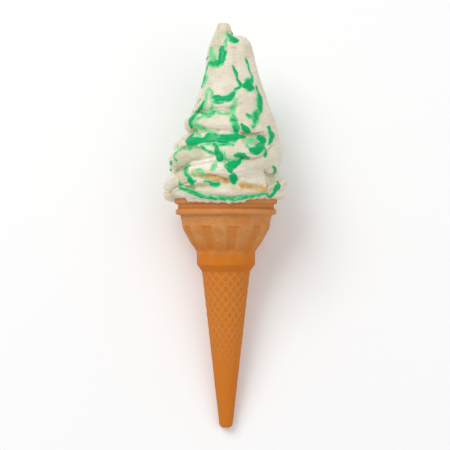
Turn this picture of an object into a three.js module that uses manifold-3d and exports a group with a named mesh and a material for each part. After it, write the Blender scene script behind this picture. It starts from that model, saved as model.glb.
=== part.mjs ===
// An ice cream cone: soft ice cream swirled high on a moulded wafer cone, with thick mint sauce over it.
// Millimetres. The cone is made along +Y, from its tip to the peak of the swirl, with its shown side
// towards +Z. It is then tilted to lie on the plane z = 0, on its tip and on a flat spot of the swirl.

import * as THREE from "three";
import { mergeVertices } from "three/addons/utils/BufferGeometryUtils.js";
import Module from "manifold-3d";

const wasm = await Module();
wasm.setup();

// Wafer cone, as heights along its axis from the tip, and radii
const TIP_RADIUS = 3.9;
const TIP_EDGE = 1.2;
const TAIL_TOP = 91.5;
const TAIL_TOP_RADIUS = 14.2;
const COLLAR_HEIGHT = [95.4, 100.6];
const COLLAR_RADIUS = 17.1;
const BOWL_SIDE = [
  [103, 17.2],
  [105.4, 18.9],
  [108, 20.8],
  [111.9, 22.9],
  [115.4, 24.9],
  [117.4, 25.6],
  [119.8, 25.8],
  [122, 26.4],
];
const BEAD_HEIGHT = [124.4, 127.9];
const BEAD_RADIUS = 29.5;
const BEAD_EDGE = 0.7;
const NECK_RADIUS = 28.1;
const LIP_HEIGHT = [131, 134.2];
const LIP_RADIUS = 30;
const LIP_EDGE = 0.7;
const WALL = 2.3;
const CUP_FLOOR = 99;
const CUP_FLOOR_RADIUS = 11;
const WAFER_SIDES = 60;

// Narrow panels pressed into the bowl all round
const PANEL_COUNT = 10;
const PANEL_DEPTH = 0.7;
const PANEL_HEIGHT = [103.6, 118.6];
const PANEL_SHARE = 0.42;
const PANEL_FIRST_TURN = 9;

// Gap between the ice cream and the wafer
const GAP = 0.3;

// Smallest detail that the joined swirl keeps
const FINEST = 0.05;

// Corners closer together than this are one, and what is closer to a middle line is on it
const SAME_PLACE = 1e-4;
const ON_LINE = 1e-6;

const CUP_SIDES = 24;

// Body of the swirl: height along the axis, radius, how far its middle stands to the right, and how
// deep the creases are between its flutes
const BODY = [
  [131, 25, 0, 0],
  [135, 31, 0, 0],
  [142, 33, 0, 0],
  [149, 30.4, 0, 0.4],
  [157, 29, 2, 0.9],
  [166, 27, 4, 1.2],
  [175, 26, 3, 1.2],
  [184, 23.2, 2.8, 1.2],
  [193, 20.2, 2.8, 1.1],
  [202, 17.1, 2.7, 1],
  [211, 14.5, 2.5, 0.9],
  [219, 12.8, 2.4, 0.8],
  [225, 11, 2.6, 0.6],
  [228.6, 7, 3.4, 0.4],
];
const FLUTE_COUNT = 7;
const FLUTE_FIRST_TURN = -22;
const FLUTE_TWIST = 0.5;
const FLUTE_MIDDLE = 200;
const FLUTE_FACETS = 6;

// Peak of the swirl: height, how far to the right, radius
const PEAK = [
  [202, 0, 12.4],
  [212, -1.4, 11.6],
  [221, -2.2, 9.6],
  [229, -1.8, 6.8],
  [233, -1.5, 5.4],
  [236.8, -1.4, 4.4],
];
const PEAK_FORWARD = 0.7;

// Folds that climb round the swirl. A turn is in degrees from the shown side to the right, at is the
// height along the axis, reach the distance of the crest from the axis, thick half of the fold's
// thickness along the axis, proud its depth as a share of that, and sag how far its middle hangs
// below the straight climb.
const FOLDS = [
  // Bottom lobe, over the lip
  { turn: [-84, 66], at: [136, 137.4], reach: [35, 34.5], thick: [4.2, 4], proud: 1, sag: 1.4 },
  // Low ridge on the right
  { turn: [34, 200], at: [135.5, 137], reach: [34.8, 36.5], thick: [3.2, 5], proud: 1.3, sag: 0 },
  // Point on the right
  { turn: [40, 250], at: [139.6, 150], reach: [36.8, 36], thick: [3.4, 6.5], proud: 1.3, sag: 0 },
  // Foot at the back
  { turn: [140, 262], at: [141, 139.5], reach: [38, 36.5], thick: [6.5, 6.8], proud: 1, sag: 0 },
  // Long ridge
  { turn: [-128, 86], at: [137, 158.5], reach: [39, 33], thick: [8, 6.4], proud: 1, sag: 1.4 },
  // Big face on the left
  { turn: [-118, 70], at: [154.5, 161], reach: [35.2, 33], thick: [8.2, 5.6], proud: 0.9, sag: 0.6 },
  // Back of the second coil
  { turn: [46, 254], at: [158.5, 156.5], reach: [32.4, 38], thick: [8.8, 8.4], proud: 0.9, sag: 0 },
  // Upper lobe on the left
  { turn: [-118, 46], at: [164.6, 165.4], reach: [31.4, 31.4], thick: [4.2, 4.2], proud: 1, sag: 0.8 },
  // Upper lobe at the back
  { turn: [110, 256], at: [168, 168.5], reach: [33, 31], thick: [6.4, 6], proud: 1, sag: 0 },
  // Bright ridge
  { turn: [-30, 62], at: [174.6, 170.4], reach: [28.6, 32], thick: [5, 3.6], proud: 1, sag: -1.4 },
  // Foot of the tower
  { turn: [-112, 34], at: [177, 176.6], reach: [24.8, 28.2], thick: [5.8, 4.8], proud: 0.9, sag: -0.4 },
  // Lobe under the tower's face
  { turn: [-56, 30], at: [187, 188], reach: [22.4, 25], thick: [4.4, 3.4], proud: 0.9, sag: 0.8 },
];
// How blunt the ends of a ridge are: 1 gives a long oval, and less a fuller end
const END_FULLNESS = 0.3;
const FOLD_SIDES = 10;
const FOLD_STEP = 10;
const FOLD_PLACES = 9;
// Rings that a ridge has besides its steps, for its ends
const END_RINGS = 4;

// Thick sauce, seen from the shown side: how far right of the axis, how far along it, half the width
const SAUCE = [
  [[0.6, 230.5, 0.8], [-0.8, 222, 2], [-4, 214.4, 1.9], [-8.6, 214.4, 1.3]],
  [[2, 228.6, 1.3], [6.4, 226.8, 1.7]],
  [[-10.8, 211.6, 0.8], [-13.6, 203, 1]],
  [[-10.8, 198.4, 1], [-6, 193.4, 1.9], [2, 193, 2], [6.8, 201, 1], [4.2, 211.4, 0.6]],
  [[11.4, 216.4, 0.7], [14.8, 206.6, 0.9], [14, 201, 2.6]],
  [[17.4, 200, 0.7], [19.4, 190.4, 2.4], [19, 184, 1.6], [17, 177.4, 1.4]],
  [[-14.6, 191, 0.9], [-17.4, 184.4, 1.6], [-21.2, 176, 1.5]],
  [[-16.4, 182.6, 1.3], [-6.6, 183.8, 0.9], [3, 184, 0.9], [5.8, 191, 1.3]],
  [[5, 181, 2], [5.4, 173, 1.7]],
  [[-21, 168.6, 3.2], [-12, 168.2, 1.9], [-2, 168, 2.9], [10.4, 169.4, 2.8]],
  [[20.8, 169, 2.7], [17.4, 162.2, 3.2]],
  [[25.4, 176, 0.8], [26.4, 170.6, 2.4], [26.8, 165.6, 0.9]],
  [[-28.6, 163, 0.6], [-22, 164.8, 1.3], [-10, 162.4, 1.5], [3.4, 155.4, 1.5]],
  [[13.6, 159.4, 0.8], [7.4, 157, 2.4], [4, 152, 1.1], [4.4, 145.6, 2.3]],
  [[-23.4, 153, 1], [-20.4, 147.6, 2], [-13, 143.4, 1], [-8, 142.4, 2]],
  [[-27.6, 140.4, 1], [-17.6, 137.2, 0.9], [-4.4, 134.4, 1], [3, 133, 0.9], [11.6, 134.8, 1]],
  [[14, 135, 0.8], [24, 136.2, 0.9], [28, 137.6, 1.4], [30.4, 141.4, 2.1]],
];
const SAUCE_SIDES = 6;
const SAUCE_STEP = 5.5;
const SAUCE_PROUD = 0.75;
const SAUCE_SINK = 0.2;
const FEWEST_PLACES = 3;
const LOOK_FROM = 100;
// The back carries these strands of the front again, seen from behind, and lifted a little
const BACK_STRANDS = [1, 3, 5, 7, 9, 12, 13, 14];
const BACK_LIFT = 2.2;

// Slope between the axis and the plane that the cone lies on
const LIE_SLOPE = 0.208;

// Joins doubled vertices and drops empty triangles, so that a geometry becomes a closed solid.
function toSolid(geometry) {
  geometry.deleteAttribute("normal");
  geometry.deleteAttribute("uv");
  const merged = mergeVertices(geometry, SAME_PLACE);
  const triVerts = [];
  for (let i = 0; i < merged.index.count; i += 3) {
    const [a, b, c] = [0, 1, 2].map((j) => merged.index.getX(i + j));
    if (a !== b && b !== c && c !== a) triVerts.push(a, b, c);
  }
  const mesh = new wasm.Mesh({
    numProp: 3,
    vertProperties: new Float32Array(merged.attributes.position.array),
    triVerts: new Uint32Array(triVerts),
  });
  return new wasm.Manifold(mesh);
}

// The largest closed surface of a solid, without the hollows sealed in it and loose scraps.
function outside(solid) {
  return solid.decompose().reduce((best, next) => (next.volume() > best.volume() ? next : best));
}

// The triangles of a solid, as a geometry.
function toGeometry(solid) {
  const { vertProperties, triVerts } = solid.getMesh();
  const geometry = new THREE.BufferGeometry();
  geometry.setAttribute("position", new THREE.Float32BufferAttribute(vertProperties, 3));
  geometry.setIndex(new THREE.BufferAttribute(triVerts, 1));
  geometry.computeVertexNormals();
  return geometry;
}

// Moves each vertex of a geometry to the place that a function makes of it.
function reshape(geometry, move) {
  const position = geometry.attributes.position;
  const point = new THREE.Vector3();
  for (let i = 0; i < position.count; i++) {
    move(point.fromBufferAttribute(position, i));
    position.setXYZ(i, point.x, point.y, point.z);
  }
  return geometry;
}

// A column of a table at a height, between its rows.
function between(rows, height, column) {
  const next = rows.findIndex((row) => row[0] > height);
  if (next < 0) return rows.at(-1)[column];
  if (next === 0) return rows[0][column];
  const [low, high] = [rows[next - 1], rows[next]];
  return THREE.MathUtils.mapLinear(height, low[0], high[0], low[column], high[column]);
}

// A place at a turn from the shown side, a height, and a distance from a middle line.
function around(turn, height, reach, middle = 0) {
  const angle = THREE.MathUtils.degToRad(turn);
  return new THREE.Vector3(middle + reach * Math.sin(angle), height, reach * Math.cos(angle));
}

// A round ridge along a curve, with round ends: a ball drawn out along it. Each place on the curve has
// its own radius, and the section's height away from the axis may be less than its width.
function ridge(places, radii, sides, step, proud = 1) {
  const curve = new THREE.CatmullRomCurve3(places, false, "centripetal");
  const rings = Math.ceil(curve.getLength() / step) + END_RINGS;
  const ball = new THREE.SphereGeometry(1, sides, rings);
  const out = new THREE.Vector3();
  const side = new THREE.Vector3();
  return toSolid(
    reshape(ball, (point) => {
      const ring = Math.hypot(point.x, point.z);
      const even = Math.acos(THREE.MathUtils.clamp(point.y, -1, 1)) / Math.PI;
      const share = (even + (1 - point.y) / 2) / 2;
      const spot = share * (radii.length - 1);
      const index = Math.min(Math.floor(spot), radii.length - 2);
      const radius = THREE.MathUtils.lerp(radii[index], radii[index + 1], spot - index);
      const swell = ring < ON_LINE ? 0 : radius * ring ** (END_FULLNESS - 1);
      const along = curve.getTangent(share);
      const [across, away] = [point.x * swell, point.z * swell * proud];
      point.copy(curve.getPoint(share));
      out.set(point.x, 0, point.z).addScaledVector(along, -along.x * point.x - along.z * point.z);
      side.crossVectors(out.normalize(), along);
      point.addScaledVector(side, across).addScaledVector(out, away);
    }),
  );
}

// One fold of the swirl, from its row of sizes.
function fold({ turn, at, reach, thick, proud, sag }) {
  const places = [];
  const radii = [];
  for (let i = 0; i <= FOLD_PLACES; i++) {
    const share = i / FOLD_PLACES;
    const radius = THREE.MathUtils.lerp(thick[0], thick[1], share);
    const height = THREE.MathUtils.lerp(at[0], at[1], share) - sag * Math.sin(share * Math.PI);
    const distance = THREE.MathUtils.lerp(reach[0], reach[1], share) - radius * proud;
    places.push(around(THREE.MathUtils.lerp(turn[0], turn[1], share), height, distance));
    radii.push(radius);
  }
  return ridge(places, radii, FOLD_SIDES, FOLD_STEP, proud);
}

// The swirl's body: a turned shape whose middle drifts to the side, with flutes that twist to the
// right as they climb.
function body() {
  const outline = BODY.map(([height, radius]) => new THREE.Vector2(radius, height));
  outline.unshift(new THREE.Vector2(0, BODY[0][0]));
  outline.push(new THREE.Vector2(0, BODY.at(-1)[0]));
  const turned = new THREE.LatheGeometry(outline, FLUTE_COUNT * FLUTE_FACETS);
  const pitch = 360 / FLUTE_COUNT;
  const fluted = reshape(turned, (point) => {
    const radius = Math.hypot(point.x, point.z);
    const turn = THREE.MathUtils.radToDeg(Math.atan2(point.x, point.z));
    const share = THREE.MathUtils.euclideanModulo(turn + pitch / 2, pitch) / pitch - 0.5;
    const inward = radius < ON_LINE ? 0 : between(BODY, point.y, 3) * (2 * Math.abs(share)) ** 2;
    const twisted = turn + FLUTE_FIRST_TURN + FLUTE_TWIST * (point.y - FLUTE_MIDDLE);
    point.copy(around(twisted, point.y, radius - inward, between(BODY, point.y, 2)));
  });
  return toSolid(fluted);
}

// The peak, which leans to the left of the tower.
function peak() {
  const places = PEAK.map(([height, right]) => new THREE.Vector3(right, height, PEAK_FORWARD));
  return ridge(places, PEAK.map((row) => row[2]), FOLD_SIDES, FOLD_STEP);
}

// Outer outline of the wafer from the tip to the lip, as radius and height, larger by a gap.
function waferOutline(gap = 0) {
  const outline = [
    [0, -gap],
    [TIP_RADIUS - TIP_EDGE, -gap],
    [TIP_RADIUS, TIP_EDGE],
    [TAIL_TOP_RADIUS, TAIL_TOP],
    [COLLAR_RADIUS, COLLAR_HEIGHT[0]],
    [COLLAR_RADIUS, COLLAR_HEIGHT[1]],
    ...BOWL_SIDE.map(([height, radius]) => [radius, height]),
    [BEAD_RADIUS - BEAD_EDGE, BEAD_HEIGHT[0]],
    [BEAD_RADIUS, BEAD_HEIGHT[0] + BEAD_EDGE],
    [BEAD_RADIUS, BEAD_HEIGHT[1] - BEAD_EDGE],
    [NECK_RADIUS, BEAD_HEIGHT[1]],
    [NECK_RADIUS, LIP_HEIGHT[0] - LIP_EDGE],
    [LIP_RADIUS, LIP_HEIGHT[0]],
    [LIP_RADIUS, LIP_HEIGHT[1] - LIP_EDGE],
    [LIP_RADIUS - LIP_EDGE, LIP_HEIGHT[1] + gap],
  ];
  return outline.map(([radius, height]) => new THREE.Vector2(radius + (radius > 0 ? gap : 0), height));
}

// Inner outline of the cup from the lip down to its floor, smaller by a gap.
function cupOutline(gap = 0) {
  const wall = WALL + gap;
  const outline = [
    [LIP_RADIUS - wall, LIP_HEIGHT[1] + gap],
    [NECK_RADIUS - wall, LIP_HEIGHT[0] - LIP_EDGE],
    ...BOWL_SIDE.toReversed().map(([height, radius]) => [radius - wall, height]),
    [CUP_FLOOR_RADIUS - gap, CUP_FLOOR + gap],
    [0, CUP_FLOOR + gap],
  ];
  return outline.map(([radius, height]) => new THREE.Vector2(radius, height));
}

// How far the panels press into the bowl at a turn and a height.
function panelPress(turn, height) {
  const pitch = 360 / PANEL_COUNT;
  const place = THREE.MathUtils.euclideanModulo(turn - PANEL_FIRST_TURN + pitch / 2, pitch) - pitch / 2;
  const within = Math.abs(place) < (pitch * PANEL_SHARE) / 2;
  return within && height > PANEL_HEIGHT[0] && height < PANEL_HEIGHT[1] ? PANEL_DEPTH : 0;
}

// The wafer cone: a turned cup on a tapered tail, with panels pressed into the outside of the bowl.
function waferCone() {
  const turned = new THREE.LatheGeometry([...waferOutline(), ...cupOutline()], WAFER_SIDES);
  const pressed = reshape(turned, (point) => {
    const radius = Math.hypot(point.x, point.z);
    if (radius < between(BOWL_SIDE, point.y, 1) - WALL / 2) return;
    const turn = THREE.MathUtils.radToDeg(Math.atan2(point.x, point.z));
    const share = 1 - panelPress(turn, point.y) / radius;
    point.set(point.x * share, point.y, point.z * share);
  });
  return toSolid(pressed);
}

// A strand of sauce laid on the swirl, found by looking along a direction from the shown side or behind.
function strand(route, swirl, behind) {
  const facing = behind ? -1 : 1;
  const look = new THREE.Raycaster();
  const curve = new THREE.CatmullRomCurve3(
    route.map(([right, height]) => new THREE.Vector3(right, height + (behind ? BACK_LIFT : 0), 0)),
  );
  const count = Math.max(FEWEST_PLACES, Math.ceil(curve.getLength() / SAUCE_STEP));
  const places = [];
  for (let i = 0; i <= count; i++) {
    const spot = curve.getPoint(i / count);
    look.set(new THREE.Vector3(spot.x, spot.y, LOOK_FROM * facing), new THREE.Vector3(0, 0, -facing));
    const [hit] = look.intersectObject(swirl);
    if (hit) places.push(hit.point.addScaledVector(look.ray.direction, SAUCE_SINK));
  }
  if (places.length < FEWEST_PLACES) return null;
  return ridge(places, route.map((row) => row[2]), SAUCE_SIDES, SAUCE_STEP, SAUCE_PROUD);
}

// The swirl with its sauce, filling the cup.
function iceCream() {
  const bare = wasm.Manifold.union([body(), peak(), ...FOLDS.map(fold)]);
  const swirl = new THREE.Mesh(toGeometry(bare), new THREE.MeshBasicMaterial({ side: THREE.DoubleSide }));
  const front = SAUCE.map((route) => strand(route, swirl, false));
  const back = BACK_STRANDS.map((index) => strand(SAUCE[index], swirl, true));
  const sauce = [...front, ...back].filter((solid) => solid !== null);
  const filling = new THREE.LatheGeometry(
    [...cupOutline(GAP).toReversed(), new THREE.Vector2(0, LIP_HEIGHT[1] + GAP)],
    CUP_SIDES,
  );
  const cup = [...waferOutline(GAP), new THREE.Vector2(0, LIP_HEIGHT[1] + GAP)];
  const room = toSolid(new THREE.LatheGeometry(cup, WAFER_SIDES));
  const whole = wasm.Manifold.union([bare, ...sauce]).subtract(room).add(toSolid(filling));
  const angle = Math.atan(LIE_SLOPE);
  const floor = new THREE.Vector3(0, Math.sin(angle), Math.cos(angle));
  const tip = new THREE.Vector3(0, TIP_EDGE, -TIP_RADIUS);
  return outside(whole.trimByPlane(floor.toArray(), floor.dot(tip))).simplify(FINEST);
}

const wafer = new THREE.Mesh(
  toGeometry(waferCone()),
  new THREE.MeshStandardMaterial({ color: 0xc28650, roughness: 0.8, metalness: 0 }),
);
wafer.name = "wafer_cone";

const cream = new THREE.Mesh(
  toGeometry(iceCream()),
  new THREE.MeshStandardMaterial({ color: 0xe2d9c4, roughness: 0.45, metalness: 0 }),
);
cream.name = "ice_cream";

// The cone lies down on its back, and its box stands on z = 0 round the middle
const lying = new THREE.Group();
lying.add(wafer, cream);
lying.rotation.x = Math.atan(LIE_SLOPE);

const iceCreamCone = new THREE.Group();
iceCreamCone.add(lying);
iceCreamCone.updateMatrixWorld(true);
const box = new THREE.Box3().setFromObject(lying, true);
const middle = box.getCenter(new THREE.Vector3());
lying.position.set(-middle.x, -middle.y, -box.min.z);

export default iceCreamCone;
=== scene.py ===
"""Dresses an ice cream cone: a soft swirl with mint sauce on a moulded wafer cone, lying on its back."""
import logging
import math
from collections.abc import Callable
from dataclasses import dataclass, field, replace
from enum import Enum

import bpy
import numpy as np
from mathutils import Matrix, Vector, noise
from mathutils.bvhtree import BVHTree


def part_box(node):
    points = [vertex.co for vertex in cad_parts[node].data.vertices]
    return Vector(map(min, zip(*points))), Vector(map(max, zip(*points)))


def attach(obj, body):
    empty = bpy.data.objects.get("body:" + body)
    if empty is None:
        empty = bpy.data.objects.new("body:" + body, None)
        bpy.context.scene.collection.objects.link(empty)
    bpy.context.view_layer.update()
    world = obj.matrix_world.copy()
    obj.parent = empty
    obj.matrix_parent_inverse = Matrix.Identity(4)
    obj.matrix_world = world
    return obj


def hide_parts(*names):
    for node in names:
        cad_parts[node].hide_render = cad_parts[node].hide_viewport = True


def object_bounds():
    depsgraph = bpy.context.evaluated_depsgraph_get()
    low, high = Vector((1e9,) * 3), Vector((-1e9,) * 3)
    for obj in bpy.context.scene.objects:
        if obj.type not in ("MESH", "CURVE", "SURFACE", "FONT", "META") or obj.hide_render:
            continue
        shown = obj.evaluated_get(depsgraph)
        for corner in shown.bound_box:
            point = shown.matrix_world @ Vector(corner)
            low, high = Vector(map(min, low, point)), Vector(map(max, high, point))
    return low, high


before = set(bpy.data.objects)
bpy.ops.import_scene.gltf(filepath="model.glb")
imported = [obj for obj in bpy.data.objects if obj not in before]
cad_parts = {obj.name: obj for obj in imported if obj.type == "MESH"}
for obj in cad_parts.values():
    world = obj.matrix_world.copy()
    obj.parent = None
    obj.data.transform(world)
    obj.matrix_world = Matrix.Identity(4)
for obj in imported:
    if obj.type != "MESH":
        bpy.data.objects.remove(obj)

log = logging.getLogger("ice_cream_cone")
CAD_BOX = [list(corner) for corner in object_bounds()]
MM = 0.001
TINY = 1e-6
# Where the photograph was taken from: right of the axis, along it, and in front of it
VIEW = (-0.586, 118.4, 732.5)
# How far in front of the axis the shown side's tints and creases start to fade, and where they are full
FRONT = (-2.0, 6.0)


class Tone(Enum):
    """How thick a strand of sauce lies at its middle, in millimetres. Its colour deepens with it."""

    LIGHT = 0.2
    MEDIUM = 0.4
    DEEP = 0.8


class Side(Enum):
    """The side of the cone that a strand is laid on: the shown one, or the one behind."""

    SHOWN = 1
    BEHIND = -1


@dataclass(frozen=True)
class Lie:
    """How the upright cone lies down. Upright, it stands along +Y and shows its front to +Z.

    All sizes are millimetres, as they are in the solids.
    """

    slope: float = 0.208
    tip_radius: float = 3.9
    tip_edge: float = 1.2

    def matrix(self) -> Matrix:
        """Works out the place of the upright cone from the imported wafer's own box.

        Returns:
            The matrix that takes upright millimetres to the frame's metres.
        """
        angle = math.atan(self.slope)
        low, high = (Vector(corner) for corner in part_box("wafer_cone"))
        across = (low.x + high.x) / 2
        along = low.y + (self.tip_radius - self.tip_edge) * math.sin(angle) * MM
        up = (self.tip_radius * math.cos(angle) - self.tip_edge * math.sin(angle)) * MM
        turn = Matrix.Rotation(angle, 4, "X")
        return Matrix.Translation((across, along, up)) @ turn @ Matrix.Scale(MM, 4)


LIE = Lie()
LAID = LIE.matrix()


def clear_selection() -> None:
    """Deselects every object, so that an operator acts only on what is selected next."""
    if bpy.context.object and bpy.context.object.mode != "OBJECT":
        bpy.ops.object.mode_set(mode="OBJECT")
    bpy.ops.object.select_all(action="DESELECT")


def make_active(piece: bpy.types.Object) -> None:
    """Selects one object alone and makes it the active one.

    Args:
        piece: The object that the next operator acts on.
    """
    clear_selection()
    piece.select_set(True)
    bpy.context.view_layer.objects.active = piece


def apply_modifier(piece: bpy.types.Object, kind: str, **values: object) -> None:
    """Adds a modifier to a piece, sets it up and applies it.

    Args:
        piece: The object that gets the modifier.
        kind: The modifier's type, as Blender names it.
        **values: The modifier's properties.
    """
    make_active(piece)
    modifier = piece.modifiers.new(kind.title(), kind)
    for name, value in values.items():
        setattr(modifier, name, value)
    bpy.ops.object.modifier_apply(modifier=modifier.name)


def places_of(piece: bpy.types.Object) -> np.ndarray:
    """Reads a mesh's vertices.

    Args:
        piece: The mesh object.

    Returns:
        One row of three numbers for each vertex.
    """
    places = np.empty(len(piece.data.vertices) * 3)
    piece.data.vertices.foreach_get("co", places)
    return places.reshape(-1, 3)


def normals_of(piece: bpy.types.Object) -> np.ndarray:
    """Reads a mesh's vertex normals.

    Args:
        piece: The mesh object.

    Returns:
        One row of three numbers for each vertex.
    """
    normals = np.empty(len(piece.data.vertices) * 3)
    piece.data.vertex_normals.foreach_get("vector", normals)
    return normals.reshape(-1, 3)


def move_to(piece: bpy.types.Object, places: np.ndarray) -> None:
    """Moves a mesh's vertices.

    Args:
        piece: The mesh object.
        places: The new place of each vertex.
    """
    piece.data.vertices.foreach_set("co", np.ascontiguousarray(places, dtype=float).ravel())
    piece.data.update()


def paint(piece: bpy.types.Object, name: str, values: np.ndarray) -> None:
    """Stores one number for each vertex, for a material to read.

    Args:
        piece: The mesh object.
        name: The attribute's name.
        values: One number for each vertex.
    """
    layer = piece.data.attributes.new(name, "FLOAT", "POINT")
    layer.data.foreach_set("value", np.ascontiguousarray(values, dtype=np.float32))


def smooth_step(low: float, high: float, value: np.ndarray) -> np.ndarray:
    """Rises from 0 to 1 between two values, without a corner.

    Args:
        low: Where the rise starts.
        high: Where it ends.
        value: The values to weigh.

    Returns:
        A number from 0 to 1 for each value.
    """
    share = np.clip((value - low) / (high - low), 0.0, 1.0)
    return share * share * (3.0 - 2.0 * share)


def lay_down(piece: bpy.types.Object) -> None:
    """Moves a finished upright piece to where the frame has it, and shades it smooth.

    Args:
        piece: The mesh object, upright and in millimetres.
    """
    make_active(piece)
    piece.matrix_world = LAID
    bpy.ops.object.transform_apply(location=True, rotation=True, scale=True)
    move_to(piece, np.clip(places_of(piece), *CAD_BOX))
    bpy.ops.object.shade_smooth()


def dress(piece: bpy.types.Object, node: str, material: bpy.types.Material) -> None:
    """Gives a piece its material and says which solid it stands for.

    Args:
        piece: The finished piece.
        node: The solid that it replaces.
        material: The piece's finish.
    """
    piece.data.materials.clear()
    piece.data.materials.append(material)
    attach(piece, "root")
    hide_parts(node)
    log.info("%s: %d vertices, stands for %s", piece.name, len(piece.data.vertices), node)


def smooth_line(points: np.ndarray, shares: np.ndarray) -> np.ndarray:
    """Reads a smooth line through hand-placed points.

    Args:
        points: The points, one row each, with any number of columns.
        shares: How far along the line to read, from 0 to 1.

    Returns:
        One row for each share.
    """
    padded = np.vstack((2 * points[0] - points[1], points, 2 * points[-1] - points[-2]))
    spot = np.clip(shares, 0.0, 1.0) * (len(points) - 1)
    index = np.minimum(spot.astype(int), len(points) - 2)
    part = (spot - index)[:, None]
    before, start, end, after = (padded[index + step] for step in range(4))
    curve = (2 * before - 5 * start + 4 * end - after) * part**2
    bend = (3 * start - before - 3 * end + after) * part**3
    return start + 0.5 * ((end - before) * part + curve + bend)


def spun(name: str, outline: np.ndarray, steps: int, joined: float = 0.01) -> bpy.types.Object:
    """Turns an outline about the upright axis.

    Args:
        name: The new object's name.
        outline: Rows of radius and height, in order.
        steps: How many columns go round.
        joined: How close two vertices are made one, in millimetres.

    Returns:
        The closed mesh object, upright and in millimetres.
    """
    clear_selection()
    bpy.ops.mesh.primitive_plane_add(size=1)
    piece = bpy.context.object
    piece.name = name
    bpy.ops.object.mode_set(mode="EDIT")
    bpy.ops.mesh.select_all(action="SELECT")
    bpy.ops.mesh.merge(type="CENTER")
    bpy.ops.transform.translate(value=(outline[0][0], outline[0][1], 0))
    for radius, height in np.diff(outline, axis=0):
        bpy.ops.mesh.extrude_vertices_move(TRANSFORM_OT_translate={"value": (radius, height, 0)})
    bpy.ops.mesh.select_all(action="SELECT")
    bpy.ops.mesh.spin(steps=steps, angle=2 * math.pi, center=(0, 0, 0), axis=(0, 1, 0))
    bpy.ops.mesh.select_all(action="SELECT")
    bpy.ops.mesh.remove_doubles(threshold=joined)
    bpy.ops.mesh.normals_make_consistent(inside=False)
    bpy.ops.object.mode_set(mode="OBJECT")
    return piece


def seen_from_front(places: np.ndarray) -> np.ndarray:
    """Works out where places appear on the upright plane through the axis, from the shown side.

    Args:
        places: The places, upright.

    Returns:
        How far right of the axis and how far along it each one appears.
    """
    middle = np.array(VIEW[:2])
    nearness = VIEW[2] / (VIEW[2] - places[:, 2])
    return middle + (places[:, :2] - middle) * nearness[:, None]


@dataclass(frozen=True)
class Ridge:
    """A round ridge along a curve, with blunt ends: a ball drawn out along it.

    Proud is how far it stands out for its thickness, and the lower its fullness, the blunter its ends.
    The curve's direction is read over twice the nearby share of it.
    """

    name: str
    path: Callable[[np.ndarray], np.ndarray]
    radii: tuple[float, ...]
    proud: float = 1.0
    sides: int = 20
    rings: int = 70
    fullness: float = 0.3
    nearby: float = 0.005

    def build(self) -> bpy.types.Object:
        """Draws a ball out along the curve.

        Returns:
            The ridge as a closed mesh object.
        """
        clear_selection()
        bpy.ops.mesh.primitive_uv_sphere_add(segments=self.sides, ring_count=self.rings, radius=1)
        piece = bpy.context.object
        piece.name = self.name
        ball = places_of(piece)
        ring = np.hypot(ball[:, 0], ball[:, 1])
        share = (np.arccos(np.clip(ball[:, 2], -1, 1)) / math.pi + (1 - ball[:, 2]) / 2) / 2
        radius = np.interp(share, np.linspace(0, 1, len(self.radii)), self.radii)
        swell = np.where(ring > TINY, radius * np.maximum(ring, TINY) ** (self.fullness - 1), 0)
        middle = self.path(share)
        ahead, behind = np.minimum(share + self.nearby, 1), np.maximum(share - self.nearby, 0)
        along = self.path(ahead) - self.path(behind)
        along /= np.linalg.norm(along, axis=1)[:, None]
        out = middle * (1, 0, 1)
        out -= along * np.sum(out * along, axis=1)[:, None]
        out /= np.linalg.norm(out, axis=1)[:, None]
        side = np.cross(along, out)
        across = side * (ball[:, 0] * swell)[:, None]
        away = out * (ball[:, 1] * swell * self.proud)[:, None]
        move_to(piece, middle + across + away)
        return piece


@dataclass(frozen=True)
class Fold:
    """A fold that climbs round the swirl.

    Turns are degrees from the shown side to the right, and at is how far along the axis its two ends
    are. Reach is how far the crest stands from the axis, thick is half the fold's thickness along the
    axis, proud its depth as a share of that, and sag how far its middle hangs below the straight climb.
    """

    name: str
    turn: tuple[float, float]
    at: tuple[float, float]
    reach: tuple[float, float]
    thick: tuple[float, float]
    proud: float = 1.0
    sag: float = 0.0

    def path(self, share: np.ndarray) -> np.ndarray:
        """Works out the middle line of the fold.

        Args:
            share: How far along the fold, from 0 to 1.

        Returns:
            One place for each share.
        """
        turn = np.radians(self.turn[0] + (self.turn[1] - self.turn[0]) * share)
        height = self.at[0] + (self.at[1] - self.at[0]) * share - self.sag * np.sin(math.pi * share)
        reach = self.reach[0] + (self.reach[1] - self.reach[0]) * share
        half = self.thick[0] + (self.thick[1] - self.thick[0]) * share
        distance = reach - half * self.proud
        return np.column_stack((distance * np.sin(turn), height, distance * np.cos(turn)))

    def build(self) -> bpy.types.Object:
        """Makes the fold as a closed ridge."""
        return Ridge(self.name, self.path, self.thick, self.proud).build()


@dataclass(frozen=True)
class Spot:
    """A patch of the shown side: its two ends, its half width, and how strong it is. It is full over the
    core's share of that width."""

    start: tuple[float, float]
    end: tuple[float, float]
    width: float
    strength: float = 1.0
    core: float = 0.3

    def weight(self, places: np.ndarray) -> np.ndarray:
        """Weighs how much each place is inside the patch.

        Args:
            places: The places to weigh, upright.

        Returns:
            A number from 0 to 1 for each place.
        """
        seen = seen_from_front(places)
        start, end = np.array(self.start), np.array(self.end)
        line = end - start
        share = np.clip((seen - start) @ line / (line @ line), 0, 1)
        gap = np.linalg.norm(seen - start - share[:, None] * line, axis=1)
        inside = 1 - smooth_step(self.width * self.core, self.width, gap)
        return self.strength * inside * smooth_step(*FRONT, places[:, 2])


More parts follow.
